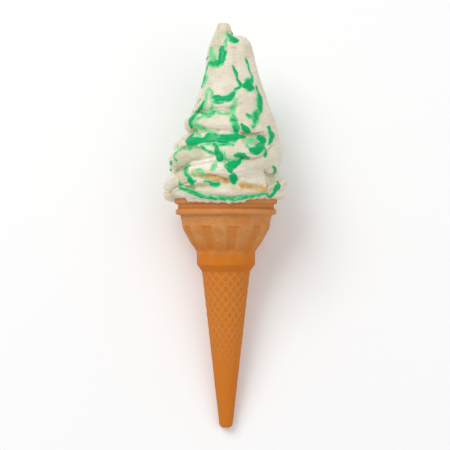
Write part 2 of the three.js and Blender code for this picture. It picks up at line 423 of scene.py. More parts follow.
@dataclass(frozen=True)
class Crease:
    """A line on the shown side where one fold of the swirl meets the next.

    Its route runs through points seen from the front, as how far right of the axis and how far along
    it. On each side of the line the surface is moved out or in by that side's height at the line
    itself, and less and less over that side's width. The left side is the one on the left of the
    route's direction, which is above a line that runs to the right. Edge is half the step between the
    sides, fade the share of the route over which each end dies out, and reach how many widths away it
    still counts.
    """

    route: tuple[tuple[float, float], ...]
    left: tuple[float, float]
    right: tuple[float, float]
    edge: float = 0.55
    fade: float = 0.16
    reach: float = 4.0
    steps: int = 12

    def shift(self, places: np.ndarray) -> np.ndarray:
        """Works out how far the surface moves out at each place.

        Args:
            places: The surface's places, upright.

        Returns:
            One distance for each place, below 0 inwards.
        """
        rows = np.array(self.route, dtype=float)
        line = smooth_line(rows, np.linspace(0, 1, self.steps * len(rows)))
        seen = seen_from_front(places)
        far = self.reach * max(self.left[1], self.right[1])
        low, high = line.min(axis=0) - far, line.max(axis=0) + far
        near = np.all((seen > low) & (seen < high), axis=1) & (places[:, 2] > FRONT[0])
        shift = np.zeros(len(places))
        gaps = seen[near][:, None, :] - line[None]
        nearest = np.argmin(np.sum(gaps**2, axis=2), axis=1)
        ahead = np.gradient(line, axis=0)[nearest]
        gap = gaps[np.arange(len(nearest)), nearest]
        side = ahead[:, 0] * gap[:, 1] - ahead[:, 1] * gap[:, 0]
        distance = np.linalg.norm(gap, axis=1)
        across = smooth_step(-self.edge, self.edge, np.sign(side) * distance)
        left = self.left[0] * np.exp(-distance / self.left[1])
        right = self.right[0] * np.exp(-distance / self.right[1])
        share = nearest / (len(line) - 1)
        ends = smooth_step(0, self.fade, share) * smooth_step(0, self.fade, 1 - share)
        shift[near] = ends * (across * left + (1 - across) * right)
        return shift


def resampled(corners: np.ndarray, step: float) -> np.ndarray:
    """Places points evenly along a line with corners.

    Args:
        corners: The line's corners, one row each.
        step: About how far apart the points are.

    Returns:
        The points, the first and the last corner among them.
    """
    far = np.concatenate(((0,), np.cumsum(np.linalg.norm(np.diff(corners, axis=0), axis=1))))
    even = np.linspace(0, far[-1], int(far[-1] / step) + 2)
    return np.column_stack([np.interp(even, far, column) for column in corners.T])


def softened(piece: bpy.types.Object, rounds: int) -> np.ndarray:
    """Evens a mesh's vertices out towards their neighbours, without moving the mesh itself.

    Args:
        piece: The mesh object.
        rounds: How many times each vertex goes half way to its neighbours' middle.

    Returns:
        The evened place of each vertex.
    """
    ends = np.empty(len(piece.data.edges) * 2, dtype=np.int64)
    piece.data.edges.foreach_get("vertices", ends)
    first, second = ends.reshape(-1, 2).T
    total = len(piece.data.vertices)
    count = np.maximum(np.bincount(ends, minlength=total), 1)
    places = places_of(piece)
    for _ in range(rounds):
        sums = [
            np.bincount(first, places[second, axis], total) + np.bincount(second, places[first, axis], total)
            for axis in range(3)
        ]
        places = 0.5 * places + 0.5 * np.column_stack(sums) / count[:, None]
    return places


@dataclass(frozen=True)
class Waves:
    """Smooth noise: the size of its waves along X, Y and Z in millimetres, and a seed that shifts it, so
    that each use has a pattern of its own. Shifts set the three patterns of its pulls apart."""

    size: tuple[float, float, float]
    seed: float
    shifts: tuple[float, float, float] = (0.0, 31.4, 72.9)

    def values(self, places: np.ndarray) -> np.ndarray:
        """Reads a number from about -1 to 1 at each place."""
        scaled = places / np.array(self.size) + self.seed
        return np.array([noise.noise(Vector(spot)) for spot in scaled])

    def pulls(self, places: np.ndarray) -> np.ndarray:
        """Reads a vector of a length up to about 1 at each place, from three shifted patterns."""
        patterns = [replace(self, seed=self.seed + shift) for shift in self.shifts]
        return np.column_stack([pattern.values(places) for pattern in patterns])


def cut_flat(piece: bpy.types.Object) -> None:
    """Cuts off what would reach below the plane that the cone lies on.

    Args:
        piece: The upright mesh object.
    """
    to_upright = LAID.inverted()
    floor = to_upright @ Vector((0, 0, 0))
    up = (to_upright.to_3x3() @ Vector((0, 0, 1))).normalized()
    make_active(piece)
    bpy.ops.object.mode_set(mode="EDIT")
    bpy.ops.mesh.select_all(action="SELECT")
    bpy.ops.mesh.bisect(plane_co=floor, plane_no=up, use_fill=True, clear_inner=True)
    bpy.ops.object.mode_set(mode="OBJECT")


@dataclass
class Swirl:
    """The ice cream: a body with shallow flutes, a leaning peak, and the folds that climb round them.

    A row of the body is its height, its radius, how far right it leans, and how deep its flutes are.
    Nothing nearer to the axis than the pole is pressed in. A row of the peak is its height, how far
    right it leans, and its radius. A row of the drips is how far right one hangs, how far along the
    axis, and its radius.
    """

    body: tuple[tuple[float, float, float, float], ...] = (
        (126, 22, 0, 0), (131, 26.5, 0, 0), (135, 31, 0, 0), (142, 33, 0, 0), (149, 30.6, 0.4, 0.4),
        (157, 29.5, 2.4, 0.9), (166, 27.9, 4.9, 1.2), (175, 26.8, 4.2, 1.2), (184, 23.8, 3.5, 1.2),
        (193, 20.8, 3.4, 1.1), (202, 17.7, 3.3, 1), (211, 15.1, 3.1, 0.9), (219, 13.4, 3, 0.8),
        (225, 11.6, 3.1, 0.6), (228.8, 7.4, 3.8, 0.4),
    )
    body_rows: int = 70
    pole: float = 0.01
    flute_count: int = 7
    flute_columns: int = 20
    flute_first_turn: float = -22
    flute_twist: float = 0.5
    flute_middle: float = 200
    peak: tuple[tuple[float, float, float], ...] = (
        (202, 0, 12.4), (212, -1.4, 11.4), (221, -2, 9), (229, -1.7, 6),
        (233, -1.4, 5), (236.8, -1.3, 4.3),
    )
    peak_forward: float = 0.7
    peak_fullness: float = 0.12
    folds: tuple[Fold, ...] = (
        Fold("bottom_lobe", (-84, 66), (138.2, 137.4), (34.6, 34.5), (4, 4), sag=1.4),
        Fold("low_right_ridge", (34, 200), (136.3, 137.2), (34.8, 36.5), (3.2, 5), 1.3),
        Fold("right_point", (40, 250), (139.6, 150), (36.8, 36), (3.4, 6.5), 1.3),
        Fold("back_foot", (140, 262), (141, 139.5), (38, 36.5), (6.5, 6.8)),
        Fold("long_ridge", (-128, 86), (137, 158.5), (39, 33), (8, 6.4), sag=1.4),
        Fold("big_left_face", (-118, 70), (154.5, 161), (35.2, 33), (8.2, 5.6), 0.9, 0.6),
        Fold("second_coil_back", (46, 254), (158.5, 156.5), (32.4, 38), (8.8, 8.4), 0.9),
        Fold("upper_left_lobe", (-118, 46), (164.6, 165.4), (31.4, 31.4), (4.2, 4.2), sag=0.8),
        Fold("upper_back_lobe", (110, 256), (168, 168.5), (33, 31), (6.4, 6)),
        Fold("back_saddle", (222, 264), (163, 162), (30, 31), (4.4, 4.4)),
        Fold("bright_ridge", (-30, 62), (174.6, 170.4), (28.6, 32), (5, 3.6), sag=-1.4),
        Fold("foot_of_tower", (-112, 34), (177, 176.6), (24.8, 28.2), (5.8, 4.8), 0.9, -0.4),
        Fold("lobe_under_face", (-56, 30), (187, 188), (22.4, 25), (4.4, 3.4), 0.9, 0.8),
        Fold("right_tip", (66, 104), (143, 142.2), (37.4, 37.4), (1.7, 1.3)),
        Fold("right_cheek", (14, 108), (150, 163), (32.9, 34.5), (8, 12), 0.55),
        Fold("left_bulge", (-122, -70), (136.4, 137), (38, 37), (5.4, 4.6), 1.2),
        Fold("left_saddle", (-118, -62), (150, 150.4), (33.2, 32.6), (2.8, 2.6)),
        Fold("pool_floor", (-52, 24), (167.6, 168.8), (30.2, 30), (3.4, 3.2)),
    )
    creases: tuple[Crease, ...] = (
        # The golden valley
        Crease(
            ((-24, 149.5), (-21, 148), (-17, 147), (-11, 147.3), (-6, 146.8),
             (-1, 144.8), (5, 143), (9, 142)),
            (-1.2, 1.6), (-1.6, 2.2),
        ),
        # The golden dip on the right
        Crease(((8, 141.4), (13, 140.8), (18, 142), (22, 143)), (-0.3, 2), (-0.6, 3)),
        # Where the bright fold comes out from under the big left face
        Crease(
            ((-21.5, 149.5), (-22.5, 152.5), (-20.5, 155), (-16, 155.6), (-11, 156.6),
             (-6, 158.5), (-3, 159.5)),
            (-1.4, 4), (0.6, 2), edge=0.8,
        ),
        # Upper rim of the big left face
        Crease(
            ((-31, 157), (-29.5, 161), (-27.5, 163), (-23, 164.8), (-17, 164.6),
             (-12, 163), (-7, 161), (-4, 160.5)),
            (0.4, 1.5), (-1.1, 4),
        ),
        # Valley of the sauce's pool
        Crease(
            ((-25, 166.5), (-19, 167.8), (-12, 168.6), (-4, 168.8), (4, 168.8), (10, 169.5), (13, 168.5)),
            (-0.3, 1.8), (-0.3, 1.5),
        ),
        # Under the foot of the tower
        Crease(((-20, 176), (-17, 176.3), (-12, 174), (-7, 172), (-3, 171.3)), (-0.8, 1.5), (-0.5, 1.2)),
        # Over the bright band
        Crease(((-14, 181.3), (-8, 181.6), (-3, 182.6), (2, 183), (8, 183.4)), (-1.1, 2.5), (0.5, 1.5)),
        # Over the pocket on the right
        Crease(((8, 172.2), (12, 172.4), (16, 172.2), (20, 172.5), (23, 173.5)), (0.8, 1.8), (-0.9, 3)),
        # Over the right cheek
        Crease(
            ((6, 159.5), (11, 158), (16, 157.7), (20, 158.8), (23, 161), (26, 164.5), (29, 167.5)),
            (0.6, 2), (-0.8, 5),
        ),
        # Upper edge of the bottom lobe
        Crease(
            ((-33, 134.5), (-32.3, 137.5), (-30, 139.6), (-27, 140.5), (-22, 139), (-17, 137), (-12, 135.4),
             (-5, 134.3), (3, 133.3), (12, 134.6), (24, 136), (28, 137.3)),
            (-1.5, 3), (0.2, 1), fade=0.08,
        ),
        # Inner edge of the left bulge
        Crease(((-31, 150.6), (-29.5, 146.5), (-28.3, 143), (-28.8, 140)), (-1, 3), (0.5, 2), edge=0.8),
        # Upper edge of the low fold
        Crease(((-27, 141), (-21, 142.6), (-15, 144.8), (-9, 145.6), (-4, 145)), (-1, 2), (0.6, 2)),
        # Lower end of the right cheek
        Crease(((22, 151), (23.8, 147), (24.3, 143), (24.2, 138.5)), (-1.8, 3), (0.3, 2)),
        # Under the notch on the right
        Crease(((23.5, 149), (27.5, 148.3), (31, 149.8)), (0, 1), (-0.9, 2)),
        # Grooves of the peak
        Crease(((-5, 235), (-5.3, 228), (-4.8, 221)), (-0.6, 1), (-0.6, 1.2)),
        Crease(((1.6, 233), (1, 228), (0.2, 223), (-0.6, 217)), (-1, 1.2), (-0.6, 1)),
        # Left and right edges of the tower's face
        Crease(((-9, 211), (-10, 204), (-10.5, 196)), (-0.2, 1), (-0.6, 2)),
        Crease(((17.3, 201), (18.4, 194), (19, 187), (17.4, 180), (16, 175)), (-0.6, 1.6), (-0.3, 1.2)),
        # Hollow in the middle
        Crease(
            ((-4.5, 164), (-3.2, 160), (-2, 157), (0, 155.3), (4, 154.6), (8, 156.4), (11, 158)),
            (-1, 1.6), (-0.7, 1.4),
        ),
    )
    # Painted warm shade: golden patches in the deep valleys and the fine cracks.
    gold: tuple[Spot, ...] = (
        Spot((-18.7, 149.2), (-0.6, 144.2), 2.9),
        Spot((8.8, 142), (22.3, 139.5), 3),
        Spot((5, 140), (17, 139.5), 3, 0.35),
        Spot((-37.5, 137), (-33, 136.7), 0.9, 0.6),
        Spot((-36.5, 134.6), (-32, 135.6), 0.8, 0.5),
        Spot((-34, 139), (-32, 136.5), 1, 0.5),
        Spot((-33.6, 143.6), (-29.5, 145), 0.8, 0.3),
        Spot((-30.5, 146.2), (-28, 147), 1, 0.3),
        Spot((11.4, 217), (13.8, 216.6), 0.8, 0.5),
        Spot((12, 222.6), (13.8, 222.2), 0.8, 0.3),
        Spot((15, 207.4), (18, 208), 0.9, 0.3),
        Spot((3, 222.6), (6, 222.2), 1, 0.4),
        Spot((0.6, 234), (1, 231), 1.2, 0.4),
    )
    # Painted light: patches made paler where the folds catch the most light.
    pale: tuple[Spot, ...] = (
        Spot((-19, 152.5), (-5, 156), 4.5, 0.8),
        Spot((8, 151), (22, 153), 6, 0.25),
        Spot((14.5, 214), (16, 203), 4, 0.45),
        Spot((-20, 164.5), (-10, 163), 3, 0.4),
    )
    # Painted shade: olive-grey patches, tinged green by light from the sauce, on faces turned away from the
    # light and in pockets.
    olive: tuple[Spot, ...] = (
        Spot((-28, 157), (-15, 160.4), 5, 0.75),
        Spot((-4, 234), (-6, 222), 5, 0.4),
        Spot((-28, 153), (-25, 143), 4, 0.55),
        Spot((27, 146.5), (27, 140.5), 2.8, 0.9),
        Spot((11, 168), (17, 166.6), 3, 0.9),
        Spot((-19, 148), (-10, 147), 2, 0.5),
        Spot((12, 155), (22, 153.5), 5, 0.3),
        Spot((-18, 141.5), (-8, 141), 3.5, 0.35),
    )
    broad: tuple[Spot, ...] = (
        Spot((12, 150), (29, 158), 11),
        Spot((-6, 208), (0, 199), 9, 0.7),
        Spot((-34, 140), (-33, 144), 6, 0.6),
    )
    broad_rounds: int = 90
    voxel: float = 0.6
    drips: tuple[tuple[float, float, float], ...] = (
        (-20.4, 133.2, 2.2), (-18.3, 133.4, 2.5), (-15.2, 133, 2.2), (-13, 132.8, 2), (-10.4, 132.9, 2.6),
        (-6.8, 132.2, 1.6), (-4.6, 132.6, 2.4), (-1, 132.4, 1.8), (1.6, 132.3, 2.3), (5.6, 132.8, 2.5),
        (9.4, 132.7, 2.1), (12.6, 133.7, 1.6), (15.4, 134.4, 2.1), (19.6, 134.9, 2.3), (23.8, 135, 2.2),
    )
    drip_reach: float = 30.3
    drip_shape: tuple[float, float, float] = (1.1, 1, 0.8)
    smooth_rounds: int = 3
    ripple: float = 0.35
    ripple_waves: Waves = Waves((11, 7, 11), 3.1)
    grain: float = 0.12
    grain_waves: Waves = Waves((3.2, 1.5, 3.2), 8.7)
    crease_depth: float = 0.7
    crease_rounds: int = 14
    crease_hollow: tuple[float, float] = (0.08, 0.6)
    tint_waves: Waves = Waves((3, 2, 3), 13.3)
    # Painted shade in the creases: how many rounds even the hollows out, and the hollows where it starts and
    # is full.
    crease_shade_rounds: int = 26
    crease_shade_hollow: tuple[float, float] = (0.05, 0.8)
    tint_middle: float = 0.75
    tint_swing: float = 0.5

    def middle(self, height: np.ndarray, column: int) -> np.ndarray:
        """Reads a column of the body's rows between them, at the heights given."""
        rows = np.array(self.body)
        return np.interp(height, rows[:, 0], rows[:, column])

    def core(self) -> bpy.types.Object:
        """Turns the body, presses its flutes in and twists them as they climb.

        Returns:
            The body as a closed mesh object.
        """
        rows = np.array(self.body, dtype=float)
        even = smooth_line(rows[:, (1, 0)], np.linspace(0, 1, self.body_rows))
        outline = np.vstack(((0, even[0][1]), even, (0, even[-1][1])))
        piece = spun("body", outline, self.flute_count * self.flute_columns)
        places = places_of(piece)
        radius = np.hypot(places[:, 0], places[:, 2])
        turn = np.degrees(np.arctan2(places[:, 0], places[:, 2]))
        height = places[:, 1]
        pitch = 360 / self.flute_count
        share = np.mod(turn + pitch / 2, pitch) / pitch - 0.5
        inward = np.where(radius > self.pole, self.middle(height, 3) * (2 * np.abs(share)) ** 2, 0)
        twisted = np.radians(turn + self.flute_first_turn + self.flute_twist * (height - self.flute_middle))
        reach = radius - inward
        across = self.middle(height, 2) + reach * np.sin(twisted)
        move_to(piece, np.column_stack((across, height, reach * np.cos(twisted))))
        return piece

    def leaning_peak(self) -> bpy.types.Object:
        """Makes the peak, which leans to the left of the body.

        Returns:
            The peak as a closed mesh object.
        """
        rows = np.array([(right, height, self.peak_forward) for height, right, _ in self.peak])
        radii = tuple(row[2] for row in self.peak)

        def path(share: np.ndarray) -> np.ndarray:
            """Reads the peak's middle line."""
            return smooth_line(rows, share)

        return Ridge("peak", path, radii, fullness=self.peak_fullness).build()

    def drip(self, right: float, height: float, radius: float) -> bpy.types.Object:
        """Makes one of the uneven tips that hang over the wafer's lip.

        Args:
            right: How far right of the axis it hangs.
            height: How far along the axis its middle is.
            radius: Its radius.

        Returns:
            The tip as a closed mesh object.
        """
        clear_selection()
        forward = math.sqrt(self.drip_reach**2 - right**2)
        bpy.ops.mesh.primitive_uv_sphere_add(
            segments=16, ring_count=10, radius=radius,
            location=(right, height, forward), scale=self.drip_shape,
        )
        piece = bpy.context.object
        bpy.ops.object.transform_apply(location=True, rotation=True, scale=True)
        return piece

    def fuse(self, parts: list[bpy.types.Object]) -> bpy.types.Object:
        """Joins the parts and remeshes them as one soft body.

        Args:
            parts: The closed mesh objects that make the swirl.

        Returns:
            The swirl as one closed mesh object.
        """
        make_active(parts[0])
        for part in parts:
            part.select_set(True)
        bpy.ops.object.join()
        piece = parts[0]
        piece.name = "soft_swirl"
        apply_modifier(piece, "REMESH", mode="VOXEL", voxel_size=self.voxel)
        apply_modifier(piece, "SMOOTH", factor=0.5, iterations=self.smooth_rounds)
        return piece

    def crease(self, piece: bpy.types.Object) -> None:
        """Smooths the broad faces of the shown side, then works its creases in.

        Args:
            piece: The swirl, upright.
        """
        places = places_of(piece)
        broad = np.max([spot.weight(places) for spot in self.broad], axis=0)
        places += (softened(piece, self.broad_rounds) - places) * broad[:, None]
        move_to(piece, places)
        shift = sum(crease.shift(places) for crease in self.creases)
        move_to(piece, places + normals_of(piece) * shift[:, None])
        apply_modifier(piece, "SMOOTH", factor=0.5, iterations=1)

    def roughen(self, piece: bpy.types.Object) -> None:
        """Gives the surface its slow unevenness and its torn grain, inwards only.

        Args:
            piece: The swirl, upright.
        """
        places = places_of(piece)
        slow = self.ripple_waves.values(places)
        torn = self.grain_waves.values(places)
        normals = normals_of(piece)
        hollow = np.sum((softened(piece, self.crease_rounds) - places) * normals, axis=1)
        depth = self.ripple * (0.5 - 0.5 * slow) + self.grain * (0.5 - 0.5 * torn)
        depth += self.crease_depth * smooth_step(*self.crease_hollow, hollow)
        move_to(piece, places - normals * depth[:, None])

    def mark(self, piece: bpy.types.Object) -> None:
        """Stores where the finish paints shade in the creases, and its patches of painted shade and light.

        Args:
            piece: The swirl, upright.
        """
        places = places_of(piece)
        hollow = np.sum((softened(piece, self.crease_shade_rounds) - places) * normals_of(piece), axis=1)
        uneven = self.tint_middle + self.tint_swing * self.tint_waves.values(places)
        # Painted shade: the creases' hollows, for the finish to darken and warm.
        paint(piece, "crease", smooth_step(*self.crease_shade_hollow, hollow))
        # Gold and olive patches are painted shade, pale patches painted light.
        for name, spots in (("gold", self.gold), ("pale", self.pale), ("olive", self.olive)):
            patch = np.max([spot.weight(places) for spot in spots], axis=0)
            paint(piece, name, np.clip(patch * uneven, 0, 1))

    def build(self) -> bpy.types.Object:
        """Builds the whole swirl, upright.

        Returns:
            The swirl as one closed mesh object, in millimetres.
        """
        parts = [self.core(), self.leaning_peak()]
        parts += [fold.build() for fold in self.folds]
        parts += [self.drip(*row) for row in self.drips]
        piece = self.fuse(parts)
        self.crease(piece)
        self.roughen(piece)
        cut_flat(piece)
        self.mark(piece)
        return piece


@dataclass(frozen=True)
class Strand:
    """A strand of sauce. Each row of its route is how far right of the axis it runs, how far along the
    axis, and half its width, in millimetres, seen from the side that it is laid on. Some strands of the
    shown side are laid again behind."""

    tone: Tone
    route: tuple[tuple[float, float, float], ...]
    behind: bool = False

    def samples(self, step: float) -> np.ndarray:
        """Reads the route at short steps.

        Args:
            step: About how far apart the samples are.

        Returns:
            One row like the route's own for each sample.
        """
        rows = np.array(self.route)
        length = np.sum(np.linalg.norm(np.diff(rows[:, :2], axis=0), axis=1))
        return smooth_line(rows, np.linspace(0, 1, max(4, int(length / step))))


@dataclass
class Sauce:
    """Mint sauce that ran down over the swirl in strands, blots and thin veils.

    The strands were placed over the photograph, from the peak down. Margin is how far past the
    sauce's edge its piece goes on, sunk into the cream, skin the piece's own thickness, and kept the
    share of its triangles that stay.
    """

    strands: tuple[Strand, ...] = (
        Strand(Tone.LIGHT, ((0, 231, 0.7), (0.5, 228.5, 0.8), (0, 226, 0.9), (-0.5, 223.5, 0.9))),
        Strand(Tone.DEEP, (
            (-2, 222.5, 1.2), (-2.4, 221, 1.8), (-1.9, 219.5, 2.2), (-2, 217, 2.2),
            (-2.4, 215, 1.8), (-4, 213.5, 1.4),
        ), behind=True),
        Strand(Tone.LIGHT, (
            (-8.3, 222, 0.9), (-8.8, 219.5, 1.6), (-8, 217, 2.2), (-7.5, 214.5, 2.4), (-7.5, 212.5, 2.2),
        ), behind=True),
        Strand(Tone.MEDIUM, (
            (-9.3, 213.2, 1.6), (-7, 212.8, 2.2), (-5, 213, 2.3), (-3, 213.6, 1.8),
        ), behind=True),
        Strand(Tone.MEDIUM, ((-10.5, 217, 0.5), (-11, 216, 0.6), (-11.5, 215, 0.5))),
        Strand(Tone.DEEP, (
            (1.3, 229.5, 0.6), (3, 228.5, 1.3), (4.2, 227, 2), (6, 226.5, 1.3), (7, 226.5, 0.7),
        ), behind=True),
        Strand(Tone.MEDIUM, (
            (-10.8, 211.5, 0.6), (-11.8, 208.5, 1), (-12.5, 205, 1.1), (-13, 202, 1.1), (-13.8, 199.5, 0.8),
        )),
        Strand(Tone.LIGHT, ((-10.8, 205.5, 0.6), (-11.3, 203.5, 0.8), (-12, 201.5, 0.7))),
        Strand(Tone.DEEP, (
            (4, 211.5, 0.5), (4.8, 209.5, 0.9), (5.7, 207.5, 0.8), (6.6, 205, 0.6),
            (7.3, 202.5, 0.8), (8.5, 200.5, 1),
        ), behind=True),
        Strand(Tone.MEDIUM, (
            (11.5, 216, 0.5), (12.5, 213, 0.6), (13.3, 210.5, 0.6), (14.4, 207.3, 0.6), (15.3, 205.5, 0.9),
        ), behind=True),
        Strand(Tone.MEDIUM, ((15.3, 205, 1), (14.8, 203.5, 1.6), (12.5, 203, 1.5))),
        Strand(Tone.DEEP, (
            (10.5, 199.5, 0.9), (12, 200, 1.6), (13.2, 202, 1.6), (13.4, 200, 2.1),
            (13.2, 198.7, 2.2), (15, 199, 1.6),
        ), behind=True),
        Strand(Tone.MEDIUM, (
            (9.5, 200.3, 1), (7.5, 199.3, 0.9), (5.8, 197.8, 1.1), (4.3, 196, 1.3), (3, 194.8, 1.5),
        ), behind=True),
        Strand(Tone.DEEP, (
            (17.6, 199.8, 0.7), (18.4, 197.5, 0.6), (19, 195.5, 0.8), (19.3, 193.5, 1.3),
            (19.5, 191, 2.2), (19.3, 189, 2), (19.8, 187, 1.3),
        ), behind=True),
        Strand(Tone.MEDIUM, (
            (19.8, 186, 1.6), (18, 184, 2.2), (17.3, 181.5, 2.1), (17.2, 178.5, 1.5), (16, 176, 1),
        ), behind=True),
        Strand(Tone.MEDIUM, ((12.3, 182.5, 0.9), (13.5, 182, 1.2), (15.5, 182, 1.3))),
        Strand(Tone.LIGHT, (
            (-7.5, 191.5, 1.4), (-8, 194, 1), (-8.3, 196.5, 1.1), (-9.8, 197.8, 0.9),
            (-11.2, 196.3, 1), (-11.6, 193, 1), (-12, 190, 0.9), (-12.8, 187, 1),
        )),
        Strand(Tone.LIGHT, ((-7.8, 190.5, 1), (-8.6, 187.5, 0.9), (-9, 185, 1.2), (-10, 183, 1.3))),
        Strand(Tone.DEEP, (
            (-6.5, 193, 1.6), (-4, 192.6, 1.9), (-1, 192.4, 2.1), (1.5, 192.6, 2),
            (3.5, 194, 1.5), (5, 196, 1),
        ), behind=True),
        Strand(Tone.MEDIUM, ((-6.5, 190.3, 1), (-4.5, 190.6, 1.1), (-2, 190.6, 0.9))),
        Strand(Tone.DEEP, (
            (-12.8, 190.5, 0.8), (-14.2, 188, 1), (-15.5, 185.8, 0.9), (-17.5, 183.8, 1.2),
            (-19.3, 181.5, 1.5), (-20.6, 179, 1.4), (-20.3, 176.5, 1.3), (-19.6, 175.3, 0.7),
        ), behind=True),
        Strand(Tone.LIGHT, ((-15, 191.5, 0.6), (-15.8, 190.5, 0.6), (-16.5, 189.5, 0.5))),
        Strand(Tone.LIGHT, ((-19.7, 185.5, 0.6), (-19.3, 184.5, 0.8), (-18.5, 183.5, 0.8))),
        Strand(Tone.MEDIUM, (
            (-13.5, 184.3, 1), (-12, 183, 1.5), (-10.5, 182.4, 1.5), (-8.5, 183.5, 1.4), (-7.3, 184.8, 1.1),
        ), behind=True),
        Strand(Tone.LIGHT, (
            (-18.5, 177, 0.8), (-17.6, 179.5, 0.9), (-16, 181, 0.9), (-14, 181.7, 0.9), (-12, 181.6, 0.9),
        )),
        Strand(Tone.LIGHT, (
            (-7, 185.2, 0.8), (-4.5, 184.2, 0.8), (-2, 183.7, 0.8), (0.5, 184, 0.8),
            (2.8, 185.3, 0.9), (4.5, 187.5, 1.3), (5.3, 189.5, 1.3), (5.8, 192, 1.1),
        ), behind=True),
        Strand(Tone.LIGHT, ((4.7, 186.5, 1.3), (4.2, 184, 1), (3.2, 182.5, 0.6))),
        Strand(Tone.MEDIUM, (
            (4.2, 181, 1.9), (5, 178, 2), (5.8, 175.3, 1.8), (5.5, 172.5, 1.5), (5.2, 170.5, 1.4),
        ), behind=True),
        Strand(Tone.DEEP, (
            (9.4, 177, 0.9), (10.5, 175.7, 1.4), (12, 174.3, 1.5), (13.4, 173.2, 1),
        ), behind=True),
        Strand(Tone.LIGHT, (
            (-18.8, 176, 0.9), (-17, 176.8, 1), (-15, 176, 1), (-12.5, 174.4, 1),
            (-10, 173, 1.1), (-7.5, 171.8, 1.2), (-5, 171.5, 1),
        ), behind=True),
        Strand(Tone.LIGHT, ((-18, 174.5, 1.1), (-16.8, 172, 1.1), (-15.3, 170, 1))),
        Strand(Tone.DEEP, (
            (-19.8, 170.5, 1.2), (-21.3, 168.8, 1.9), (-22, 167, 1.6), (-20, 167.2, 2.1),
            (-17, 167.8, 2), (-14, 168.2, 1.6), (-11, 168.5, 1.9), (-7.5, 169, 2.2), (-4, 169, 2.4),
            (0, 169, 2.6), (4, 169.4, 2.3), (7.5, 170.2, 1.4), (10.3, 170, 0.9),
        ), behind=True),
        Strand(Tone.MEDIUM, ((-11, 171, 1.2), (-9, 171.5, 1.4), (-6.5, 171, 1.3)), behind=True),
        Strand(Tone.LIGHT, ((12.5, 167, 1.2), (14, 167.8, 1.8), (16, 168.5, 1.5))),
        Strand(Tone.DEEP, (
            (18.3, 169, 1), (20, 169.5, 1.9), (21.6, 168.3, 1.8), (21, 166, 1.7), (20, 164, 2.4),
            (17.8, 162.4, 2.6), (16, 162, 1.8), (14.5, 162.5, 1),
        ), behind=True),
        Strand(Tone.DEEP, (
            (24.8, 176, 0.7), (25.6, 173, 1.3), (26.6, 170.7, 1.9), (26.3, 168.3, 1.3), (25.2, 165.7, 0.6),
        ), behind=True),
        Strand(Tone.LIGHT, ((-28.3, 165, 0.5), (-28.5, 163.3, 0.5), (-27, 162.4, 0.7), (-25.3, 163.7, 0.5))),
        Strand(Tone.MEDIUM, ((-28.5, 161.5, 0.6), (-30, 159.5, 0.5), (-30, 157.3, 0.6), (-29, 156.3, 0.7))),
        Strand(Tone.DEEP, ((-32.2, 155.8, 0.6), (-32, 154.8, 0.9), (-31.8, 154, 0.7))),
        Strand(Tone.DEEP, ((-32.8, 152.3, 0.5), (-32.6, 151.5, 0.7), (-32, 150.8, 0.8))),
        Strand(Tone.MEDIUM, ((-22.2, 163.3, 0.8), (-21, 162.6, 1.1), (-19.8, 163.4, 0.8))),
        Strand(Tone.LIGHT, ((-24, 164.3, 0.4), (-21.5, 164.8, 0.5), (-18, 164.5, 0.5), (-15, 164.5, 0.6))),
        Strand(Tone.MEDIUM, (
            (-14.5, 165, 0.8), (-13, 163.3, 1), (-11, 161.8, 1.2), (-9, 160.8, 1.2), (-7, 160.3, 1),
        ), behind=True),
        Strand(Tone.LIGHT, ((-13.5, 165, 0.8), (-10.5, 165.8, 0.8), (-8, 166, 0.6))),
        Strand(Tone.MEDIUM, ((-7, 165.5, 1), (-4, 165.3, 1), (0, 165.4, 0.9), (4, 165.6, 0.8))),
        Strand(Tone.DEEP, (
            (-5.8, 164, 0.9), (-4.8, 161, 1.8), (-3.8, 158.5, 2), (-3.2, 156.5, 1.3),
        ), behind=True),
        Strand(Tone.LIGHT, (
            (-1, 160.5, 0.8), (-0.6, 158, 1), (1, 156.3, 1), (3.5, 156.2, 0.9), (5.5, 157.2, 0.8),
        )),
        Strand(Tone.DEEP, (
            (5, 159.5, 0.7), (7.5, 159.8, 1), (9.5, 159.2, 1), (11.5, 158.7, 0.6), (13.5, 158.3, 0.5),
        )),
        Strand(Tone.DEEP, (
            (9.5, 158, 1.1), (8, 156, 1.3), (6, 154.5, 1.7), (3.5, 153.5, 2.2), (1.5, 153, 1.9),
            (2.3, 151, 1.4), (2.8, 149.8, 0.7),
        ), behind=True),
        Strand(Tone.LIGHT, ((-5.8, 154.7, 0.7), (-6.8, 152.8, 1.3), (-7.9, 151, 0.9), (-9, 150.6, 0.5))),
        Strand(Tone.DEEP, ((3.8, 147, 1.6), (4.3, 145.5, 2.2), (4.4, 144, 1.6)), behind=True),
        Strand(Tone.MEDIUM, (
            (-21.5, 153.2, 0.6), (-23.2, 152.3, 0.9), (-23.8, 150.5, 1), (-23.3, 148.5, 1), (-22, 146.8, 1.1),
        ), behind=True),
        Strand(Tone.DEEP, (
            (-21.5, 146.3, 1), (-20.8, 144.4, 1.5), (-19.3, 143.9, 1.2), (-17.8, 144.3, 0.7),
        ), behind=True),
        Strand(Tone.LIGHT, (
            (-18.3, 147.3, 0.7), (-18.2, 149.5, 1), (-16.5, 150.3, 1), (-14.5, 150, 1),
            (-13.5, 148.3, 0.9), (-12.8, 147.3, 0.6),
        )),
        Strand(Tone.MEDIUM, (
            (-11.7, 144.3, 0.8), (-10, 143.8, 0.9), (-8, 142.6, 1.5), (-6.5, 142, 1.7),
            (-4.8, 142.3, 1.3), (-4.2, 143.5, 0.8),
        )),
        Strand(Tone.MEDIUM, ((-26.8, 143.3, 0.7), (-26.4, 142.2, 1), (-26, 141.2, 0.7))),
        Strand(Tone.MEDIUM, (
            (-27.6, 140.2, 0.6), (-24.5, 139.4, 1), (-21, 138.3, 1.2), (-18, 137.3, 1.1),
